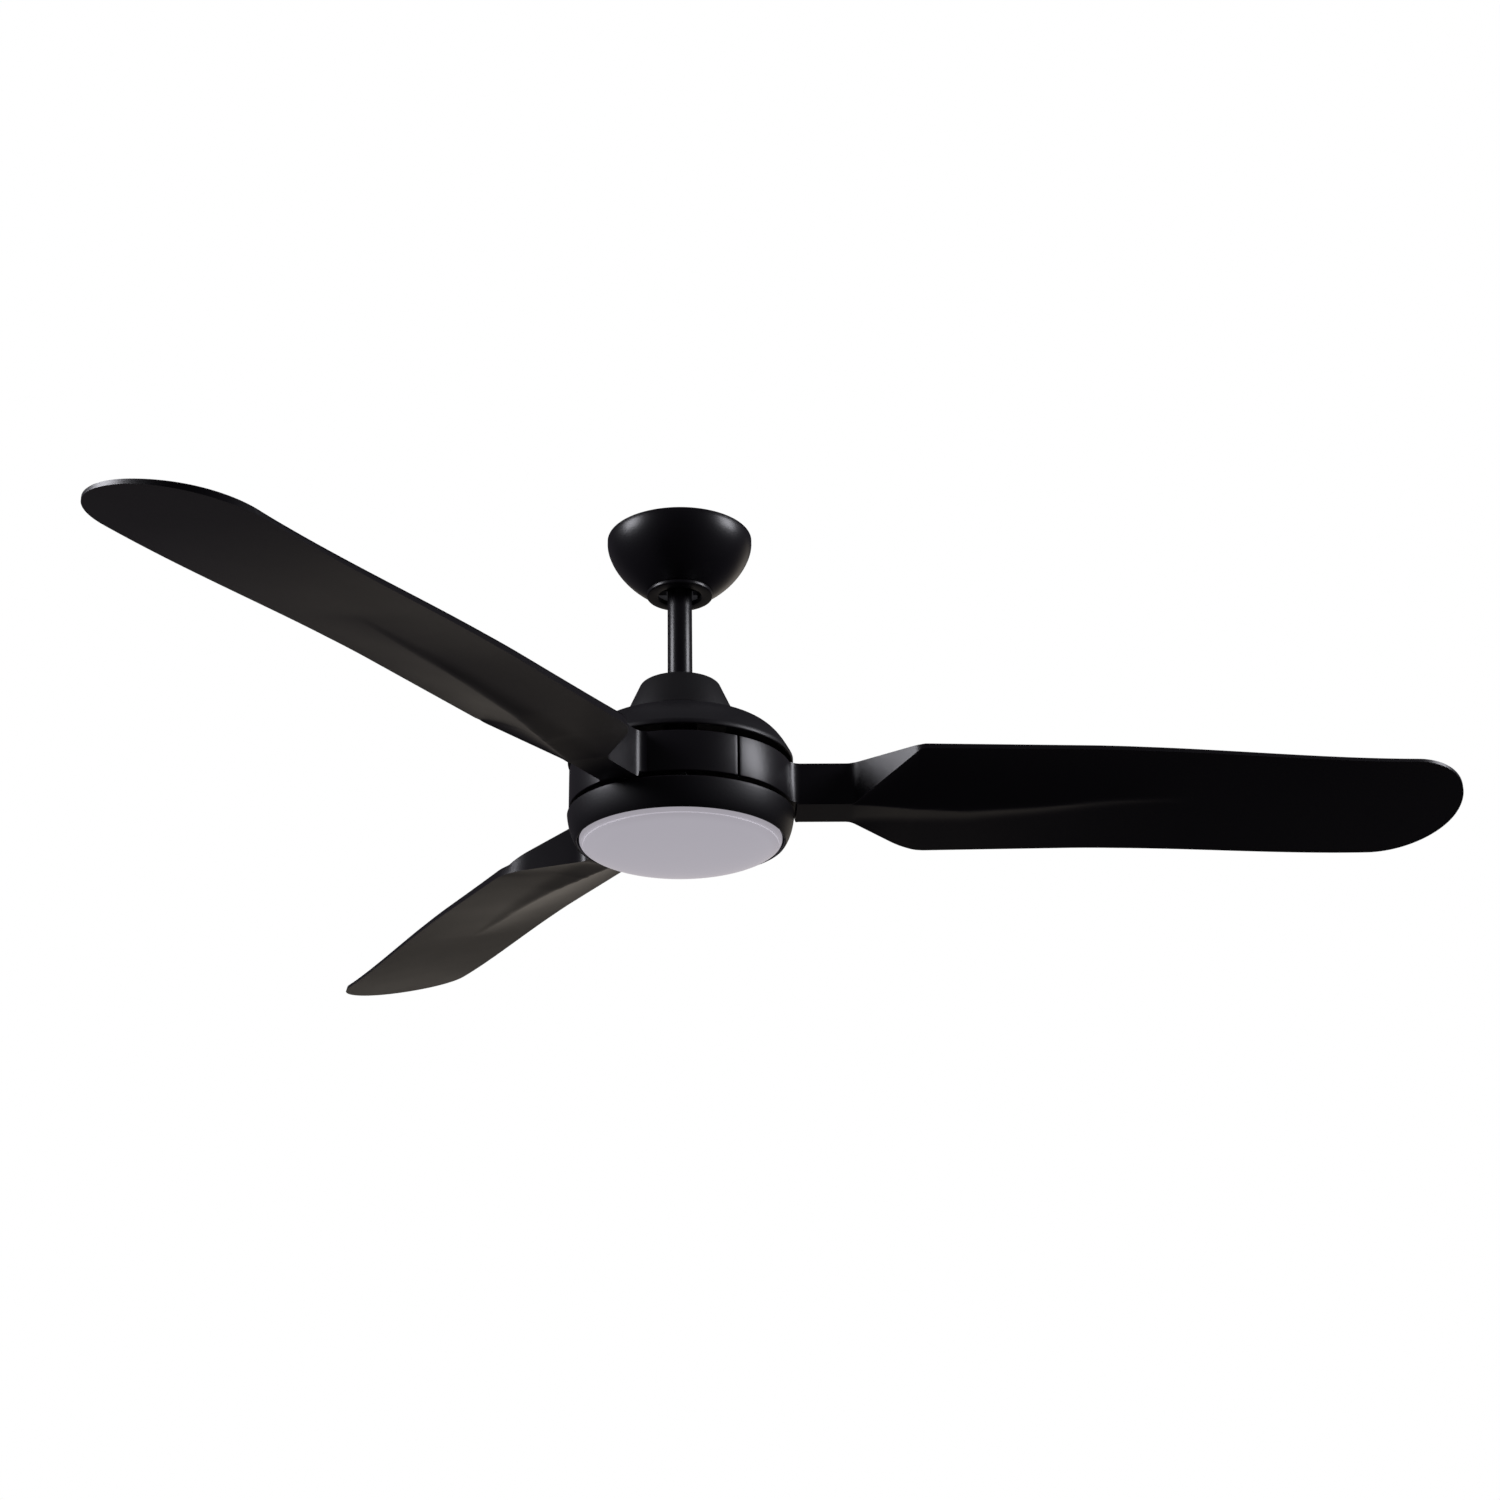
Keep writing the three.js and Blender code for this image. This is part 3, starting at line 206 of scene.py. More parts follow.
# %% Backdrop and room light
HORIZON = 0.42
WALL = 0.075
DIM = 0.028
WARM = (1, 0.90, 0.80, 1)
COOL = (0.90, 0.82, 1.0, 1)
WHITE = (1, 1, 1, 1)
world = bpy.data.worlds.new("studio")
world.use_nodes = True
bpy.context.scene.world = world
air = Recipe(world.node_tree)
facing = air.node("ShaderNodeTexCoord", {}, out="Generated")
aside, depth, rise = air.parts_of(facing)
behind = depth.ramp(0.45, 0.95)
middle = aside.ramp(-0.34, 0.0) * behind
band = middle * rise.ramp(-0.16, 0.08) * (1 - rise.ramp(0.2, 0.36))
skirt = behind * rise.ramp(-0.56, -0.38) * (1 - rise.ramp(0.24, 0.42))
room = band * HORIZON + skirt * (0.6 + 0.9 * middle) * WALL
seen = air.node("ShaderNodeLightPath", {}, out="Is Camera Ray")
tint = air.blend(COOL, WARM, (room * 8).ramp(0, 1))
strength = seen + (1 - seen) * (room + DIM)
glow = air.node("ShaderNodeBackground", {}, air.blend(tint, WHITE, seen), strength)
air.node("ShaderNodeOutputWorld", {}, glow)
bpy.context.scene.view_settings.view_transform = "Standard"
print("horizon", HORIZON, "room", DIM)


# %% Side lights and floor
def soft_box(name, place, aim, width, height, power):
    light = bpy.data.lights.new(name, "AREA")
    light.shape = "RECTANGLE"
    light.size = width
    light.size_y = height
    light.energy = power
    light.color = (0.93, 0.93, 1.0)
    box = bpy.data.objects.new(name, light)
    box.location = place
    box.rotation_euler = (Vector(aim) - Vector(place)).to_track_quat("-Z", "Y").to_euler()
    box.visible_camera = False
    bpy.context.scene.collection.objects.link(box)


AIM = (0, 0, -0.2)
for side in (-1, 1):
    soft_box("side_light", (side * 2.2, -0.5, 0.62), AIM, 0.95, 1.0, 27)
soft_box("top_light", (0, 0, 2.4), AIM, 2.0, 2.0, 2.5)

FLOOR_LEVEL = -2.45
floor_mesh = bmesh.new()
bmesh.ops.create_circle(floor_mesh, cap_ends=True, segments=64, radius=9)
bmesh.ops.translate(floor_mesh, verts=floor_mesh.verts[:], vec=(0, 0, FLOOR_LEVEL))
floor_data = bpy.data.meshes.new("floor")
floor_mesh.to_mesh(floor_data)
floor_mesh.free()
floor = bpy.data.objects.new("floor", floor_data)
bpy.context.scene.collection.objects.link(floor)
floor.visible_diffuse = False
floor.visible_glossy = False
floor_paint, r = recipe_for("pale_floor")
pale = r.blend((0.80, 0.80, 0.81, 1), (0.86, 0.86, 0.87, 1), r.grain(3))
r.surface(Base_Color=pale, Roughness=0.8, Emission_Color=pale, Emission_Strength=0.8)
floor_data.materials.append(floor_paint)
print("floor at", FLOOR_LEVEL)

# %% [markdown]
# ## Finishes
# Each finish starts from its base colour and roughness, and gets what makes it real: a slight
# unevenness of gloss, a fine grain in the normal, and banding where the process leaves it.
# All patterns read Object coordinates, in metres, so a scale of 900 is a grain of about
# a millimetre.
#
# The canopy, trim ring, rod and covers are sheet steel under satin black lacquer. Sprayed
# lacquer is never quite level: it dries with a faint orange peel, which blurs the lights'
# edges, so the normal gets a grain of two millimetres and the gloss drifts slowly. A thin coat
# over the base gives the sharper of the two highlights that lacquer shows.


# %% Satin black lacquer on steel
def satin_lacquer(name, colour, gloss, spread, peel):
    material, r = recipe_for(name)
    broad = r.grain(9, 3)
    fine = r.grain(1400, 2)
    tone = r.blend(*shades(colour, 0.85, 1.2), broad)
    rough = gloss + (broad - 0.5) * spread + (fine - 0.5) * spread
    orange_peel = r.bump(r.grain(520, 2), peel)
    r.surface(
        Base_Color=tone, Roughness=rough, Normal=orange_peel, Specular_IOR_Level=0.5,
        Coat_Weight=0.12, Coat_Roughness=0.25,
    )
    return material


FINISH = {}
FINISH["black_paint"] = satin_lacquer("satin_black", (0.0100, 0.0090, 0.0118), 0.33, 0.08, 0.00004)
FINISH["dull_paint"] = satin_lacquer("dull_black", (0.0110, 0.0100, 0.0128), 0.47, 0.06, 0.00005)
print("painted finishes", len(FINISH))

# %% [markdown]
# ### Moulded plastics
# The blades, the cone and the fittings inside are injection moulded. The mould's spark-eroded
# texture leaves a fine pebble on them, so they look a little duller and greyer than the paint.
# One recipe serves them all, with its own colour, gloss and pebble size for each.


# %% Moulded plastics
def moulded(name, colour, gloss, grain_scale, depth):
    material, r = recipe_for(name)
    cloud = r.grain(14, 4)
    pebble = r.grain(grain_scale, 3, roughness=0.6)
    tone = r.blend(*shades(colour, 0.8, 1.2), cloud)
    rough = gloss + (cloud - 0.5) * 0.08 + (pebble - 0.5) * 0.1
    r.surface(
        Base_Color=tone, Roughness=rough, Normal=r.bump(pebble, depth), Specular_IOR_Level=0.5,
    )
    return material


FINISH["blade_plastic"] = moulded("blade_black", (0.0165, 0.0150, 0.0182), 0.33, 1700, 0.00003)
FINISH["matte_black"] = moulded("matte_black", (0.013, 0.0122, 0.0135), 0.53, 1500, 0.00005)
FINISH["nylon"] = moulded("nylon", (0.030, 0.029, 0.031), 0.5, 1300, 0.00002)
FINISH["white_plastic"] = moulded("white_plastic", (0.78, 0.78, 0.76), 0.42, 1300, 0.00002)
print("painted and moulded finishes", len(FINISH))

# %% [markdown]
# ### Metals
# The bracket is zinc plated, the motor's shells are cast, its core is a stack of thin sheets,
# and its coils are lacquered copper. All are metals with a worked surface, so one recipe
# stretches its grain along the direction of the work: flat for sheets, round for turns of wire.


# %% Metals
def worked_metal(name, colour, gloss, stretch, scale, depth):
    material, r = recipe_for(name)
    cloud = r.grain(40, 4)
    streak = r.grain(scale, 3, stretch=stretch)
    tone = r.blend(*shades(colour, 0.72, 1.1), cloud)
    rough = gloss + (cloud - 0.5) * 0.25 + (streak - 0.5) * 0.15
    r.surface(
        Base_Color=tone, Metallic=1.0, Roughness=rough, Normal=r.bump(streak, depth),
    )
    return material


EVEN = (1, 1, 1)
FINISH["zinc_steel"] = worked_metal("zinc_plate", (0.62, 0.64, 0.67), 0.34, EVEN, 220, 0.00004)
FINISH["brass"] = worked_metal("brass", (0.72, 0.50, 0.20), 0.3, EVEN, 500, 0.00002)
FINISH["alloy"] = worked_metal("cast_alloy", (0.20, 0.20, 0.21), 0.52, EVEN, 900, 0.00008)
FINISH["lamination"] = worked_metal(
    "laminations", (0.25, 0.26, 0.28), 0.45, (0.02, 0.02, 1), 2600, 0.00012,
)
FINISH["copper"] = worked_metal(
    "enamelled_copper", (0.62, 0.27, 0.10), 0.3, (0.3, 0.3, 1), 1800, 0.0002,
)
FINISH["magnet"] = worked_metal("ferrite", (0.06, 0.06, 0.068), 0.55, EVEN, 700, 0.00003)
print("all finishes but the lens", len(FINISH))

# %% [markdown]
# ## Opal lens
# The lens is a white diffuser. It is not lit here, but light that enters it wanders about
# inside and leaves it again, so it never looks as dark as a painted surface beside black
# parts. A weak glow of its own stands for that, a little stronger in the middle of the dome.

# %% Opal
opal, r = recipe_for("opal_acrylic")
haze = r.grain(6, 2)
across, along, _ = r.parts_of(r.spot())
spread = (across * across + along * along) ** 0.5
body_glow = r.blend((0.380, 0.364, 0.405, 1), (0.335, 0.318, 0.355, 1), spread.ramp(0.086, 0.099))
tone = r.blend((0.70, 0.695, 0.71, 1), (0.74, 0.735, 0.75, 1), haze)
r.surface(
    Base_Color=tone, Roughness=0.36 + (haze - 0.5) * 0.06, Normal=r.bump(r.grain(900, 2), 0.00001),
    Emission_Color=body_glow, Emission_Strength=1.0, Specular_IOR_Level=0.5,
)
FINISH["opal"] = opal
print("finishes", sorted(FINISH))

# %% [markdown]
# ## Finishes on the parts that stay as they are
# Most of the inner parts already have the right shape. Each one names its material slot in
# the record, so its finish is looked up there.

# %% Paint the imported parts
slot_of = {entry["node"]: entry["material_slot"] for entry in frame["record"]["subparts"]}
for node, thing in frame["nodes"].items():
    thing.data.materials.clear()
    thing.data.materials.append(FINISH[slot_of[node]])
print("painted", len(frame["nodes"]))

# %% [markdown]
# ## Turned shells
# The canopy, the covers, the ring, the housing and the lens are all bodies of revolution, as
# if turned on a lathe. Each starts as a closed outline in the plane of the axis, which is
# spun a full turn and merged. The outline's sharp corners become rings of edges, and a bevel
# along such a ring gives the small radius that catches the light. A lug or a third of a ring
# is the same idea with a face in place of the outline, swept through part of a turn.


# %% Helpers for turned pieces
SHARP_ABOVE = 32


def finished_piece(name, bm, body, slot, nodes, finish=None):
    """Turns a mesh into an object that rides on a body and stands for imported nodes."""
    bmesh.ops.remove_doubles(bm, verts=bm.verts[:], dist=1e-6)
    bmesh.ops.recalc_face_normals(bm, faces=bm.faces[:])
    data = bpy.data.meshes.new(name)
    bm.to_mesh(data)
    bm.free()
    data.shade_smooth()
    data.set_sharp_from_angle(angle=math.radians(SHARP_ABOVE))
    data.materials.append(FINISH[finish or slot])
    piece = bpy.data.objects.new(name, data)
    bpy.context.scene.collection.objects.link(piece)
    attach(piece, body)
    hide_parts(*nodes)
    print(name, len(data.polygons), "faces")


def spun(outline, level=RING, turns=128, close=True):
    """An outline of (radius, height) pairs spun a full turn about the fan's axis."""
    bm = bmesh.new()
    spots = [bm.verts.new((radius * MM, 0, height * MM + level)) for radius, height in outline]
    edges = [bm.edges.new(pair) for pair in zip(spots, spots[1:])]
    if close:
        edges.append(bm.edges.new((spots[-1], spots[0])))
    bmesh.ops.spin(
        bm, geom=spots + edges, cent=(0, 0, 0), axis=(0, 0, 1), dvec=(0, 0, 0),
        angle=2 * math.pi, steps=turns, use_merge=True, use_duplicate=False,
    )
    bmesh.ops.remove_doubles(bm, verts=bm.verts[:], dist=1e-6)
    bmesh.ops.recalc_face_normals(bm, faces=bm.faces[:])
    return bm


def soften(bm, corners, level=RING, segments=3):
    """Bevels the ring of edges at each (radius, height, width)."""
    for radius, height, width in corners:
        def on_ring(v):
            near = abs(math.hypot(v.co.x, v.co.y) - radius * MM) < 2e-5
            return near and abs(v.co.z - level - height * MM) < 2e-5

        ring = [e for e in bm.edges if on_ring(e.verts[0]) and on_ring(e.verts[1])]
        bmesh.ops.bevel(
            bm, geom=ring, offset=width * MM, offset_type="OFFSET", segments=segments,
            profile=0.5, affect="EDGES", material=-1, clamp_overlap=True,
        )
    return bm


def swept_bar(bm, outline, middle, sweep, steps):
    """A closed outline face swept through part of a turn, centred on the angle middle."""
    spots = [bm.verts.new((radius * MM, 0, height * MM)) for radius, height in outline]
    face = bm.faces.new(spots)
    start = Matrix.Rotation(math.radians(middle) - sweep / 2, 3, "Z")
    bmesh.ops.rotate(bm, verts=spots, cent=(0, 0, 0), matrix=start)
    bmesh.ops.spin(
        bm, geom=[face] + list(face.edges) + spots, cent=(0, 0, 0), axis=(0, 0, 1),
        dvec=(0, 0, 0), angle=sweep, steps=steps, use_merge=False, use_duplicate=False,
    )


def take_in(whole, part):
    """Adds a finished part to a larger mesh, with its faces turned outward first."""
    bmesh.ops.recalc_face_normals(part, faces=part.faces[:])
    data = bpy.data.meshes.new("part")
    part.to_mesh(data)
    part.free()
    whole.from_mesh(data)
    bpy.data.meshes.remove(data)


print("turning helpers ready")

# %% [markdown]
# ## Canopy
# The canopy hides the bracket and its wiring. It is a deep-drawn steel bowl: an upright lip
# at the ceiling, then one smooth curve in to a small flat floor. A chain of arcs would show
# joints in its reflections, so the curve is a superellipse, and its steps crowd towards the
# floor, where it turns fastest.

# %% Canopy
CANOPY_RADIUS = 74.4
LIP_DEPTH = 6.4
FULL_DEPTH = 66.3
ROUNDNESS = 1.63


def bowl_radius(depth, wall):
    share = max(0.0, depth - LIP_DEPTH) / (FULL_DEPTH - wall)
    return (CANOPY_RADIUS - wall) * (1 - share**ROUNDNESS) ** (1 / ROUNDNESS)


def bowl(wall, floor_depth, steps):
    shares = [math.sin(math.pi / 2 * i / steps) for i in range(steps + 1)]
    depths = [LIP_DEPTH + (floor_depth - LIP_DEPTH) * share for share in shares]
    return [(bowl_radius(d, wall), -d) for d in depths]


SHEET = 1.2
CANOPY_TOP = -0.9
FLOOR_DEPTH = 60.6
FLOOR_HOLE = 23.5
outside = [(CANOPY_RADIUS, CANOPY_TOP)] + bowl(0, FLOOR_DEPTH, 22)
inside = [(CANOPY_RADIUS - SHEET, CANOPY_TOP)] + bowl(SHEET, FLOOR_DEPTH - SHEET, 14)
floor_edge = [(FLOOR_HOLE, -FLOOR_DEPTH), (FLOOR_HOLE, SHEET - FLOOR_DEPTH)]
rims = [(CANOPY_RADIUS, CANOPY_TOP, 0.5), (CANOPY_RADIUS - SHEET, CANOPY_TOP, 0.4)]
canopy = soften(spun(outside + floor_edge + inside[::-1], 0), rims, 0, 2)
finished_piece("canopy_bowl", canopy, "ceiling_mount", "black_paint", ["canopy"])

# %% [markdown]
# ## Trim ring
# A pressed ring snaps up over the canopy's floor and hides its two screws. It is a shallow
# channel in section. Its corners get a wide bevel below and a narrow one above, which is what
# a press leaves, and the upper one shows as a bright line.

# %% Trim ring
TRIM_OUTER = 33.8
TRIM_HOLE = 22.3
TRIM_FOOT = -65.1
TRIM_TOP = -60.9
TRIM_FLOOR = -62.4
outline = [
    (TRIM_HOLE, TRIM_FOOT), (TRIM_OUTER, TRIM_FOOT), (TRIM_OUTER, TRIM_TOP), (32.0, TRIM_TOP),
    (32.0, TRIM_FLOOR), (24.1, TRIM_FLOOR), (24.1, TRIM_TOP), (TRIM_HOLE, TRIM_TOP),
]
rims = [
    (TRIM_OUTER, TRIM_FOOT, 1.5), (TRIM_OUTER, TRIM_TOP, 0.7),
    (TRIM_HOLE, TRIM_FOOT, 0.8), (TRIM_HOLE, TRIM_TOP, 0.6),
]
ring = soften(spun(outline, 0), rims, 0, 4)
finished_piece("trim_ring", ring, "ceiling_mount", "black_paint", ["canopy_trim_ring"])

# %% [markdown]
# ## Ball
# The rod's upper end is locked in a plastic ball that rests in the bracket's round seat, so
# the fan always hangs plumb. Only the ball's underside is seen, through the trim ring. It is
# a half circle with the rod's bore and a flat top cut off it, spun like the canopy.

# %% Ball
BALL_LEVEL = -36 * MM
BALL_RADIUS = 22
BORE = 12.8
BORE_FOOT = -17.89
BALL_TOP = 14
FLAT_RADIUS = 16.97
arc = [math.radians(-90 + 180 * i / 32) for i in range(33)]
whole = [(BALL_RADIUS * math.cos(a), BALL_RADIUS * math.sin(a)) for a in arc]
kept = [(radius, height) for radius, height in whole if radius > BORE and height < BALL_TOP]
outline = [(BORE, BORE_FOOT)] + kept + [(FLAT_RADIUS, BALL_TOP), (BORE, BALL_TOP)]
ball = spun(outline, BALL_LEVEL, 96)
finished_piece("hanging_ball", ball, "hanging_motor", "matte_black", ["hanger_ball"])

# %% [markdown]
# ## Seat liner
# A nylon cup lies between the ball and the steel seat, so that the joint neither squeaks nor
# wears. It is the gap between two arcs with one centre, which is the ball's own centre.

# %% Seat liner
LINER_OUTER = 24.3
LINER_INNER = 22.3
arc = [math.radians(6 + 35 * i / 10) for i in range(11)]
outer = [(LINER_OUTER * math.cos(a), -LINER_OUTER * math.sin(a)) for a in arc]
inner = [(LINER_INNER * math.cos(a), -LINER_INNER * math.sin(a)) for a in reversed(arc)]
liner = spun(outer + inner, BALL_LEVEL, 96)
finished_piece("seat_cup", liner, "seat_liner", "nylon", ["seat_liner"])

# %% [markdown]
# ## Downrod
# The rod is a cut length of steel pipe. Its ends are deburred, so the two outer edges get a
# small bevel and nothing else is needed.

# %% Downrod
ROD_RADIUS = 12.5
ROD_BORE = 10.5
ROD_FOOT = 74.3
ROD_TOP = 260.5
outline = [(ROD_BORE, ROD_FOOT), (ROD_RADIUS, ROD_FOOT), (ROD_RADIUS, ROD_TOP), (ROD_BORE, ROD_TOP)]
rims = [(ROD_RADIUS, ROD_FOOT, 0.4), (ROD_RADIUS, ROD_TOP, 0.4)]
rod = soften(spun(outline, RING, 96), rims, RING, 2)
finished_piece("downrod_pipe", rod, "hanging_motor", "black_paint", ["downrod"])

# %% [markdown]
# ## Coupling cover
# A plain moulded cone covers the coupling between rod and motor. Its sides are straight, so
# six corners give the whole wall, and a bevel rounds the upper one.

# %% Coupling cover
CONE_FOOT = (57.0, 76.4)
CONE_SHOULDER = (39.9, 114.8)
outline = [CONE_FOOT, CONE_SHOULDER, (13.3, 114.8), (13.3, 113.0), (38.6, 113.0), (55.2, 76.4)]
cone = soften(spun(outline), [(*CONE_SHOULDER, 2.2), (*CONE_FOOT, 0.4)], RING, 4)
finished_piece("coupling_cone", cone, "hanging_motor", "matte_black", ["coupling_cover"])

# %% [markdown]
# ## Upper cover
# Below the cone the upper cover spreads out over the motor and turns down into a short
# upright lip, which is rounded enough to catch a bright line from the side light. Its
# shoulder is one Bezier curve, because its bend tightens steadily towards the lip. Its paint
# is duller than the canopy's.


# %% Upper cover
def bezier(a, b, c, d, steps):
    shares = [i / steps for i in range(steps + 1)]
    return [
        tuple((1 - s) ** 3 * p + 3 * (1 - s) ** 2 * s * q + 3 * (1 - s) * s * s * u + s**3 * v
              for p, q, u, v in zip(a, b, c, d))
        for s in shares
    ]


COVER_LIP = 29.4
COVER_OUTER = 111.6
COVER_INNER = 109.8
shoulder = bezier((86, 63.4), (99, 57.4), (105.6, 45), (COVER_OUTER, COVER_LIP + 4), 18)
slope = [(57.1, 76.1), (62, 74.0), (72, 69.6)]
inner_curve = [(radius - 1.8, height - 1.6) for radius, height in shoulder]
outline = (
    [(20, 76.1)] + slope + shoulder + [(COVER_OUTER, COVER_LIP), (COVER_INNER, COVER_LIP)]
    + inner_curve[::-1] + [(56.1, 74.3), (20, 74.3)]
)
rims = [(COVER_OUTER, COVER_LIP, 1.4), (COVER_INNER, COVER_LIP, 0.3)]
cover = soften(spun(outline, RING, 160), rims, RING, 4)
finished_piece(
    "upper_cover_shell", cover, "hanging_motor", "black_paint", ["upper_cover"], "dull_paint",
)

# %% [markdown]
# ## Blades
# Each blade is one moulding: a third of the ring, a deep neck, a shoulder, and a thin wing
# that is pitched about 15 degrees. It starts as a flat grid that is extruded to a plate. Then
# every vertex is moved by the blade's own formulas: its edges, the height of its underside,
# and its thickness. The crease is part of the underside's formula: it runs on from the
# neck's front corner as a ridge, with a flat stretch behind it that carries the neck's own
# underside out into the wing and fades before the middle of the blade.

# %% Blade outline
NECK_END = 168.0
WING_START = 229.0
LEAD_TIP = 700.0
TRAIL_TIP = 691.0
TIP = 762.5
BLADE_START = 105.2
FILLET = 13.0
NECK_LEAD = 21.5
NECK_TRAIL = 19.0
NECK_BEND = 6
RING_RADIUS = 110.0


def between(x, low, high):
    """0 up to low, 1 from high on, and an even climb between them."""
    return min(1.0, max(0.0, (x - low) / (high - low)))


def ease(x, low, high):
    """The same climb with a soft start and a soft end."""
    share = between(x, low, high)
    return share * share * (3 - 2 * share)


def mix(a, b, share):
    return a + (b - a) * share


def soft_min(a, b, reach):
    """The smaller of two values, with the corner between them rounded off."""
    near = max(reach - abs(a - b), 0) / reach
    return min(a, b) - near * near * reach / 4


def side_width(x, neck, wing, tip_width, tip_start, corner):
    """Half width on one side of the blade's centre line."""
    shoulder = neck + (wing - neck) * (x - NECK_END) / (WING_START - NECK_END)
    edge = mix(wing, tip_width, between(x, WING_START, tip_start))
    width = soft_min(-soft_min(-neck, -shoulder, NECK_BEND), edge, corner)
    wall = math.sqrt(RING_RADIUS**2 - (neck + FILLET) ** 2)
    run = min(FILLET, max(0.0, x - wall))
    return width + FILLET - math.sqrt(FILLET**2 - (FILLET - run) ** 2)


def lead_width(x):
    return side_width(x, NECK_LEAD, wing=82.5, tip_width=83.2, tip_start=LEAD_TIP, corner=6)


def trail_width(x):
    return side_width(x, NECK_TRAIL, wing=85.0, tip_width=72.3, tip_start=TRAIL_TIP, corner=20)


print("width at the wing's start", round(lead_width(WING_START) + trail_width(WING_START), 1))


# %% Blade heights
RING_TOP = 23.1
RING_FOOT = -17.6
ROOT_PITCH = 15.0
TIP_PITCH = 13.1
MIDDLE = -7.8
SAG = 1.8
DROOP = 12.2
LEAD_WALL = (4.8, 2.8)
TRAIL_WALL = (11.0, 6.0)
HEART = (12.0, 4.0)
HEART_FROM = 290.0
CREASE = 15.5
CREASE_END = 501.0
CREST = (-NECK_LEAD, -3)
CREST_IN_WING = 280
FLAT = (38, 19)
FLAT_NARROWS = (180, 300)


def blade_heights(x):
    """Heights, thicknesses and the crease at a distance x from the fan's axis."""
    out = between(x, WING_START, TIP)
    open_wing = between(x, NECK_END, WING_START)
    pitch = math.tan(math.radians(mix(ROOT_PITCH, TIP_PITCH, out)))
    middle = MIDDLE - SAG * min(1.0, out / 0.4) - DROOP * ease(out, 0.3, 0.88)
    lead = middle + pitch * lead_width(min(max(x, WING_START), LEAD_TIP))
    trail = middle - pitch * trail_width(min(max(x, WING_START), TRAIL_TIP))
    tall = RING_TOP - RING_FOOT
    return {
        "lead": mix(RING_FOOT, lead, open_wing),
        "trail": mix(RING_FOOT, trail, open_wing),
        "lead_wall": mix(tall, mix(*LEAD_WALL, out), open_wing),
        "trail_wall": mix(tall, mix(*TRAIL_WALL, math.sqrt(out)), open_wing),
        "heart": mix(tall, mix(*HEART, math.sqrt(out)), ease(x, NECK_END, HEART_FROM)),
        "crease": CREASE * open_wing**0.8 * (1 - between(x, WING_START, CREASE_END)),
        "crest": mix(*CREST, between(x, NECK_END, CREST_IN_WING)) - 6 * ease(x, 340, 440),
        "flat": mix(*FLAT, between(x, *FLAT_NARROWS)) * (1 - between(x, FLAT_NARROWS[1], CREASE_END)),
    }


def soft_over(x, reach):
    """Zero below -reach, x above reach, and a parabola between them."""
    if x < -reach:
        return 0.0
    return x if x > reach else (x + reach) ** 2 / (4 * reach)


def underside(y, h, lead, trail):
    """Steep in front of the crest, flat for a stretch behind it, then an even slope."""
    crest_share = (h["crest"] + lead) / (lead + trail)
    crest = mix(h["lead"], h["trail"], crest_share) - h["crease"]
    away = y - h["crest"]
    if away < 0:
        chord = mix(h["lead"], h["trail"], (y + lead) / (lead + trail))
        return chord - h["crease"] * (1 - between(-away, 0, max(0.5, lead + h["crest"]))) ** 2.1
    past = soft_over(away - h["flat"], min(8, h["flat"] + 0.1))
    return mix(crest, h["trail"], min(1.0, past / (trail - h["crest"] - h["flat"])))


def thickness(y, h, lead, trail):
    """From the front wall up to the blade's heart, and down again to the trailing wall."""
    if y < 0:
        return mix(h["lead_wall"], h["heart"], ease(y, -lead, 0))
    return mix(h["heart"], h["trail_wall"], ease(y, 0, trail))


start = blade_heights(WING_START)
print("at the wing's start", {name: round(value, 1) for name, value in start.items()})

# %% [markdown]
# The grid's columns run across the blade and crowd towards its edges, as a sine does. The
# last rows leave the straight columns and bend into the tip's outline, which is a quarter of
# an ellipse on each side, so the grid has no point where it narrows to nothing.

# %% Lay the plate along the blade
ACROSS = 56
ALONG = 150
TIP_ROWS_FROM = 600.0
TIP_MIDDLE = -4.7
STRAIGHT = 0.80
ROW_STOPS = [
    (0.0, BLADE_START), (0.13, 119.0), (0.19, 162.0), (0.42, 240.0), (STRAIGHT, TIP_ROWS_FROM),
]


def row_distance(share):
    """Rows stand close together by the fillet and the shoulder, and wider along the wing."""
    for (s0, x0), (s1, x1) in zip(ROW_STOPS, ROW_STOPS[1:]):
        if share <= s1:
            return mix(x0, x1, (share - s0) / (s1 - s0))
    return TIP_ROWS_FROM


def plate_spot(share, across):
    """Place along and across the blade, and its two half widths, for a spot on the grid."""
    side = math.sin(math.pi / 2 * across)
    if share <= STRAIGHT:
        x = row_distance(share)
    else:
        bend = math.cos(math.pi / 2 * across)
        limit = mix(LEAD_TIP, TIP, bend) if side < 0 else mix(TRAIL_TIP, TIP, bend)
        x = mix(TIP_ROWS_FROM, limit, math.sin(math.pi / 2 * between(share, STRAIGHT, 1)))
    lead = lead_width(min(x, LEAD_TIP))
    trail = trail_width(min(x, TRAIL_TIP))
    heart = TIP_MIDDLE * ease(x, TIP_ROWS_FROM, TIP - 20)
    y = heart + side * ((lead + heart) if side < 0 else (trail - heart))
    return x, y, lead, trail


# %% [markdown]
# Two details are added as the plate is shaped. The trailing wall leans in towards its top,
# as a moulding that has to leave its mould does, and this keeps it dark from below. The
# neck's underside drops a little as soon as it is clear of the lamp housing's rim.

# %% Shape the plate
LEAN = 4.0
INSIDE_RING = 108
INSET = 0.3
CLEAR_OF_RIM = (112.4, 113.4)
NECK_DROP = (2.0, 5.5)
EDGE_RADIUS = 0.9


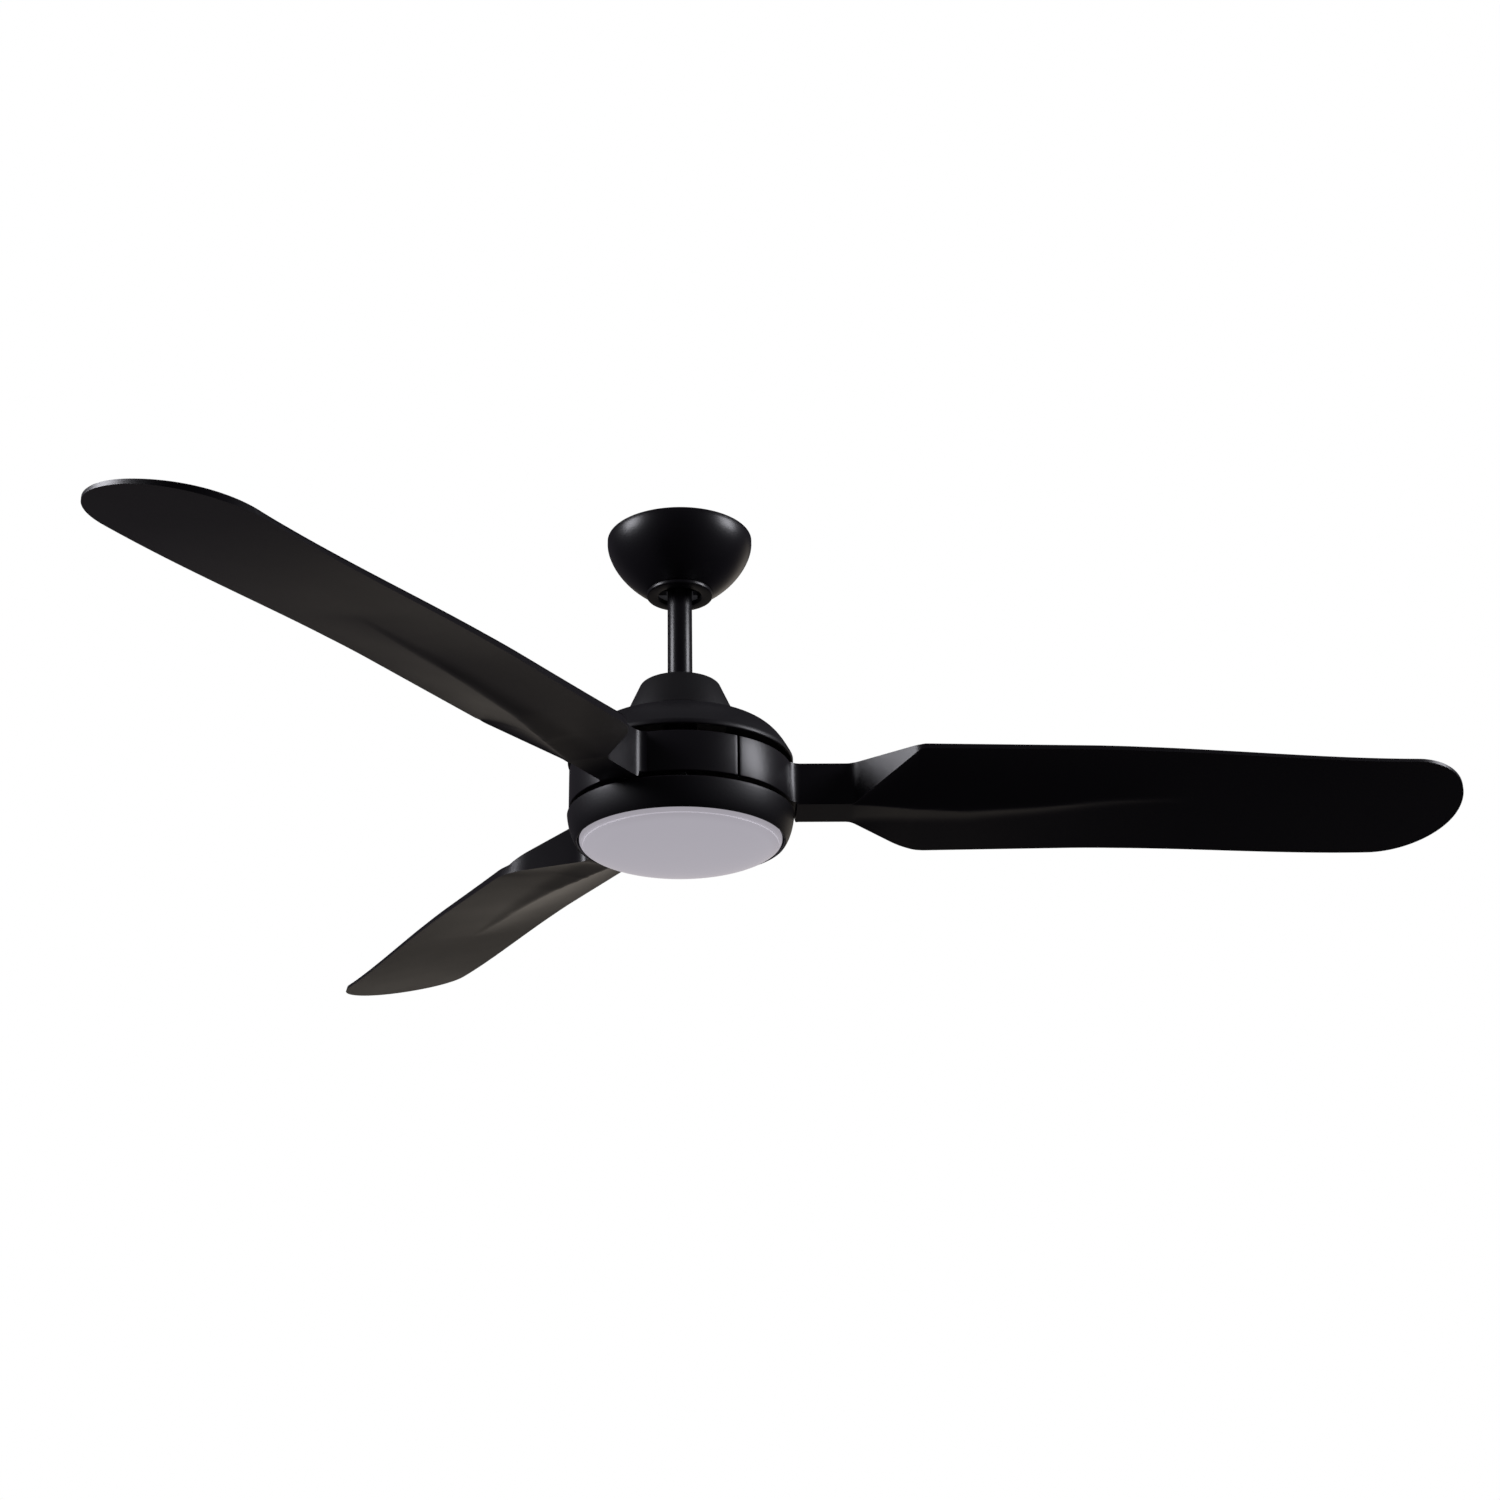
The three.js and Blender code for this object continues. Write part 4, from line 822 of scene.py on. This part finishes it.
def shape_plate(bm, under_layer):
    for v in bm.verts:
        x, y, lead, trail = plate_spot((v.co.x + 1) / 2, v.co.y)
        h = blade_heights(x)
        low = underside(y, h, lead, trail)
        high = min(RING_TOP, low + thickness(y, h, lead, trail))
        inset = INSET if x < INSIDE_RING else 0.0
        open_wing = between(x, NECK_END, WING_START)
        if not v[under_layer] and v.co.y > 0:
            y -= LEAN * open_wing * v.co.y**4
        drop = between(x, *CLEAR_OF_RIM) * (1 - open_wing)
        low -= drop * mix(*NECK_DROP, (y + lead) / (lead + trail))
        z = low + inset if v[under_layer] else high - inset
        v.co = Vector((x * MM, y * MM, z * MM))


def is_rim(edge, under_layer):
    """An edge between a wide face and the plate's narrow side."""
    if edge.verts[0][under_layer] != edge.verts[1][under_layer]:
        return False
    return any(len({v[under_layer] for v in f.verts}) == 2 for f in edge.link_faces)


def wing_plate():
    bm = bmesh.new()
    under_layer = bm.verts.layers.int.new("under")
    bmesh.ops.create_grid(bm, x_segments=ALONG, y_segments=ACROSS, size=1)
    for v in bm.verts:
        v[under_layer] = 1
    raised = bmesh.ops.extrude_face_region(bm, geom=bm.faces[:])
    for v in raised["geom"]:
        if isinstance(v, bmesh.types.BMVert):
            v[under_layer] = 0
    rim = [e for e in bm.edges if is_rim(e, under_layer)]
    shape_plate(bm, under_layer)
    bmesh.ops.recalc_face_normals(bm, faces=bm.faces[:])
    bmesh.ops.bevel(
        bm, geom=rim, offset=EDGE_RADIUS * MM, offset_type="OFFSET", segments=2, profile=0.5,
        affect="EDGES", material=-1, clamp_overlap=True,
    )
    return bm


print("plate of", ALONG, "by", ACROSS, "faces on each side")

# %% [markdown]
# Each blade's root is a third of the ring's wall with an inward flange that screws to the
# motor. A closed outline face is spun through a third of a turn less the seam, so its ends
# are flat, and their edges are bevelled so that the seam reads as a fine dark line.

# %% Ring segment of a blade
SEAM = 1.8
RING_WALL = 4.0
FLANGE_RADIUS = 73
FLANGE_TOP = -4.7
FLANGE_FOOT = -8.7


def ring_segment():
    bm = bmesh.new()
    inner = RING_RADIUS - RING_WALL
    outline = [
        (FLANGE_RADIUS, FLANGE_FOOT), (inner, FLANGE_FOOT), (inner, RING_FOOT),
        (RING_RADIUS, RING_FOOT), (RING_RADIUS, RING_TOP), (inner, RING_TOP),
        (inner, FLANGE_TOP), (FLANGE_RADIUS, FLANGE_TOP),
    ]
    swept_bar(bm, outline, 0, 2 * math.pi / 3 - SEAM / RING_RADIUS, 60)
    bmesh.ops.remove_doubles(bm, verts=bm.verts[:], dist=1e-6)
    bmesh.ops.recalc_face_normals(bm, faces=bm.faces[:])

    def rounded(edge):
        outside = all(math.hypot(v.co.x, v.co.y) > (RING_RADIUS - 0.1) * MM for v in edge.verts)
        return outside and edge.calc_face_angle(0) > 0.5

    bmesh.ops.bevel(
        bm, geom=[e for e in bm.edges if rounded(e)], offset=EDGE_RADIUS * MM,
        offset_type="OFFSET", segments=3, profile=0.5, affect="EDGES", material=-1,
        clamp_overlap=True,
    )
    print("ring segment", len(bm.faces), "faces")
    return bm


# %% [markdown]
# The three blades come out of one mould, so one function makes them all. The wing and the
# ring's third are turned to their place and joined, and then the whole is let down to the
# motor's level.

# %% Three blades
def blade_moulding(angle):
    whole = bmesh.new()
    turn = Matrix.Rotation(math.radians(angle), 3, "Z")
    for part in (wing_plate(), ring_segment()):
        bmesh.ops.rotate(part, verts=part.verts[:], cent=(0, 0, 0), matrix=turn)
        take_in(whole, part)
    bmesh.ops.translate(whole, verts=whole.verts[:], vec=(0, 0, RING))
    return whole


for count, angle in enumerate((0, 120, 240), start=1):
    blade = blade_moulding(angle)
    finished_piece(f"blade_moulding_{count}", blade, "rotor", "blade_plastic", [f"blade_{count}"])

# %% [markdown]
# ## Lamp housing
# The housing is a shallow pan below the blades. Its side leans in slightly from a small radius
# at the top, which catches the light, and turns further in towards the mouth. Its paint is
# duller than the canopy's, like the upper cover's. A superellipse would be too square here,
# so the side is part of an ellipse, once for the outer face and once for the inner one.

# %% Housing
MOUTH = 101.6
HOUSING_RADIUS = 111.5
HOUSING_TOP = -23.1
HOUSING_WALL = 2.4
HOUSING_FOOT = -51.5
SIDE_TOP = -24.3
SIDE_REACH = 17.5


def housing_side(wall, last, foot, steps):
    """A quarter of an ellipse, from just past its widest point down to the foot."""
    first = 0.25
    top = SIDE_TOP - wall * 0.85
    depth = (top - foot) / (math.sin(last) - math.sin(first))
    centre = HOUSING_RADIUS - wall - SIDE_REACH * math.cos(first)
    angles = [first + (last - first) * i / steps for i in range(steps + 1)]
    return [
        (centre + SIDE_REACH * math.cos(a), top - depth * (math.sin(a) - math.sin(first)))
        for a in angles
    ]


outline = (
    [(30, -23.9), (103.1, -23.9), (106.1, HOUSING_TOP), (HOUSING_RADIUS, HOUSING_TOP)]
    + housing_side(0, 1.08, HOUSING_FOOT, 14)
    + [(MOUTH, HOUSING_FOOT), (MOUTH, HOUSING_FOOT + 2.6)]
    + housing_side(HOUSING_WALL, 0.95, HOUSING_FOOT + 2.6, 10)[::-1]
    + [(30, -26.3)]
)
rims = [(HOUSING_RADIUS, HOUSING_TOP, 1.0), (MOUTH, HOUSING_FOOT, 0.6)]
housing = soften(spun(outline, RING, 160), rims, RING, 3)

# %% [markdown]
# Inside the mouth sit three flat lugs that the lens locks behind with a short turn, and three
# posts that the housing's screws go up through.

# %% Lugs and posts inside the housing
LUG_MIDDLES = (0, 120, 240)
LUG_ARC = math.radians(26)
POST_MIDDLES = (30, 150, 270)
POST_RING = 76
POST_LEVEL = -33.4
POST_RADIUS = 4 * MM
POST_HEIGHT = 15 * MM


def lugs(inner, outer, low, high):
    bars = bmesh.new()
    outline = [(inner, low), (outer, low), (outer, high), (inner, high)]
    for middle in LUG_MIDDLES:
        swept_bar(bars, outline, middle, LUG_ARC, 16)
    return bars


fittings = lugs(98.4, 105, -46.6, -44.6)
post_spot = Matrix.Translation((POST_RING * MM, 0, POST_LEVEL * MM))
for middle in POST_MIDDLES:
    turn = Matrix.Rotation(math.radians(middle), 4, "Z")
    bmesh.ops.create_cone(
        fittings, cap_ends=True, segments=32, radius1=POST_RADIUS, radius2=POST_RADIUS,
        depth=POST_HEIGHT, matrix=turn @ post_spot,
    )
bmesh.ops.translate(fittings, verts=fittings.verts[:], vec=(0, 0, RING))
take_in(housing, fittings)
finished_piece(
    "housing_pan", housing, "hanging_motor", "black_paint", ["lower_housing"], "dull_paint",
)

# %% [markdown]
# ## Lens
# The lens is a low moulded dome with a narrow flat rim, set just inside the mouth, so a dark
# groove runs all round it. A small step parts the dome from its rim. A collar stands up inside
# and carries the lugs. The outline starts and ends on the axis, so it is left open, and
# spinning closes it.

# %% Lens
LENS_RADIUS = 99.2
LENS_EDGE = -49.5
LENS_DEPTH = 20.6
LENS_WALL = 2
RIM = 3.6
RIM_STEP = 0.9
RIM_HEIGHT = 1.2
COLLAR_RADIUS = LENS_RADIUS - 4.2
COLLAR_TOP = -41


def dome(radius, depth, first, last, steps):
    angles = [first + (last - first) * i / steps for i in range(steps + 1)]
    return [(radius * math.sin(a), LENS_EDGE - depth * math.cos(a)) for a in angles]


QUARTER = math.pi / 2
step_angle = math.asin((LENS_RADIUS - RIM) / LENS_RADIUS)
crown = dome(LENS_RADIUS, LENS_DEPTH, 0, step_angle, 40)
step = (LENS_RADIUS - RIM, crown[-1][1] + RIM_STEP)
rim = dome(LENS_RADIUS, LENS_DEPTH, step_angle, QUARTER, 6)[1:]
collar = [
    (LENS_RADIUS, LENS_EDGE + RIM_HEIGHT), (COLLAR_RADIUS, LENS_EDGE + RIM_HEIGHT),
    (COLLAR_RADIUS, COLLAR_TOP), (COLLAR_RADIUS - LENS_WALL, COLLAR_TOP),
]
hollow = dome(COLLAR_RADIUS - LENS_WALL, LENS_DEPTH - LENS_WALL, 0, QUARTER, 24)[::-1]
outline = crown + [step] + rim + collar + hollow
lens = spun(outline, RING, 160, close=False)
ears = lugs(94, 100.8, -44.3, -42.3)
bmesh.ops.translate(ears, verts=ears.verts[:], vec=(0, 0, RING))
take_in(lens, ears)
finished_piece("lens_dome", lens, "lens", "opal", ["diffuser_lens"])
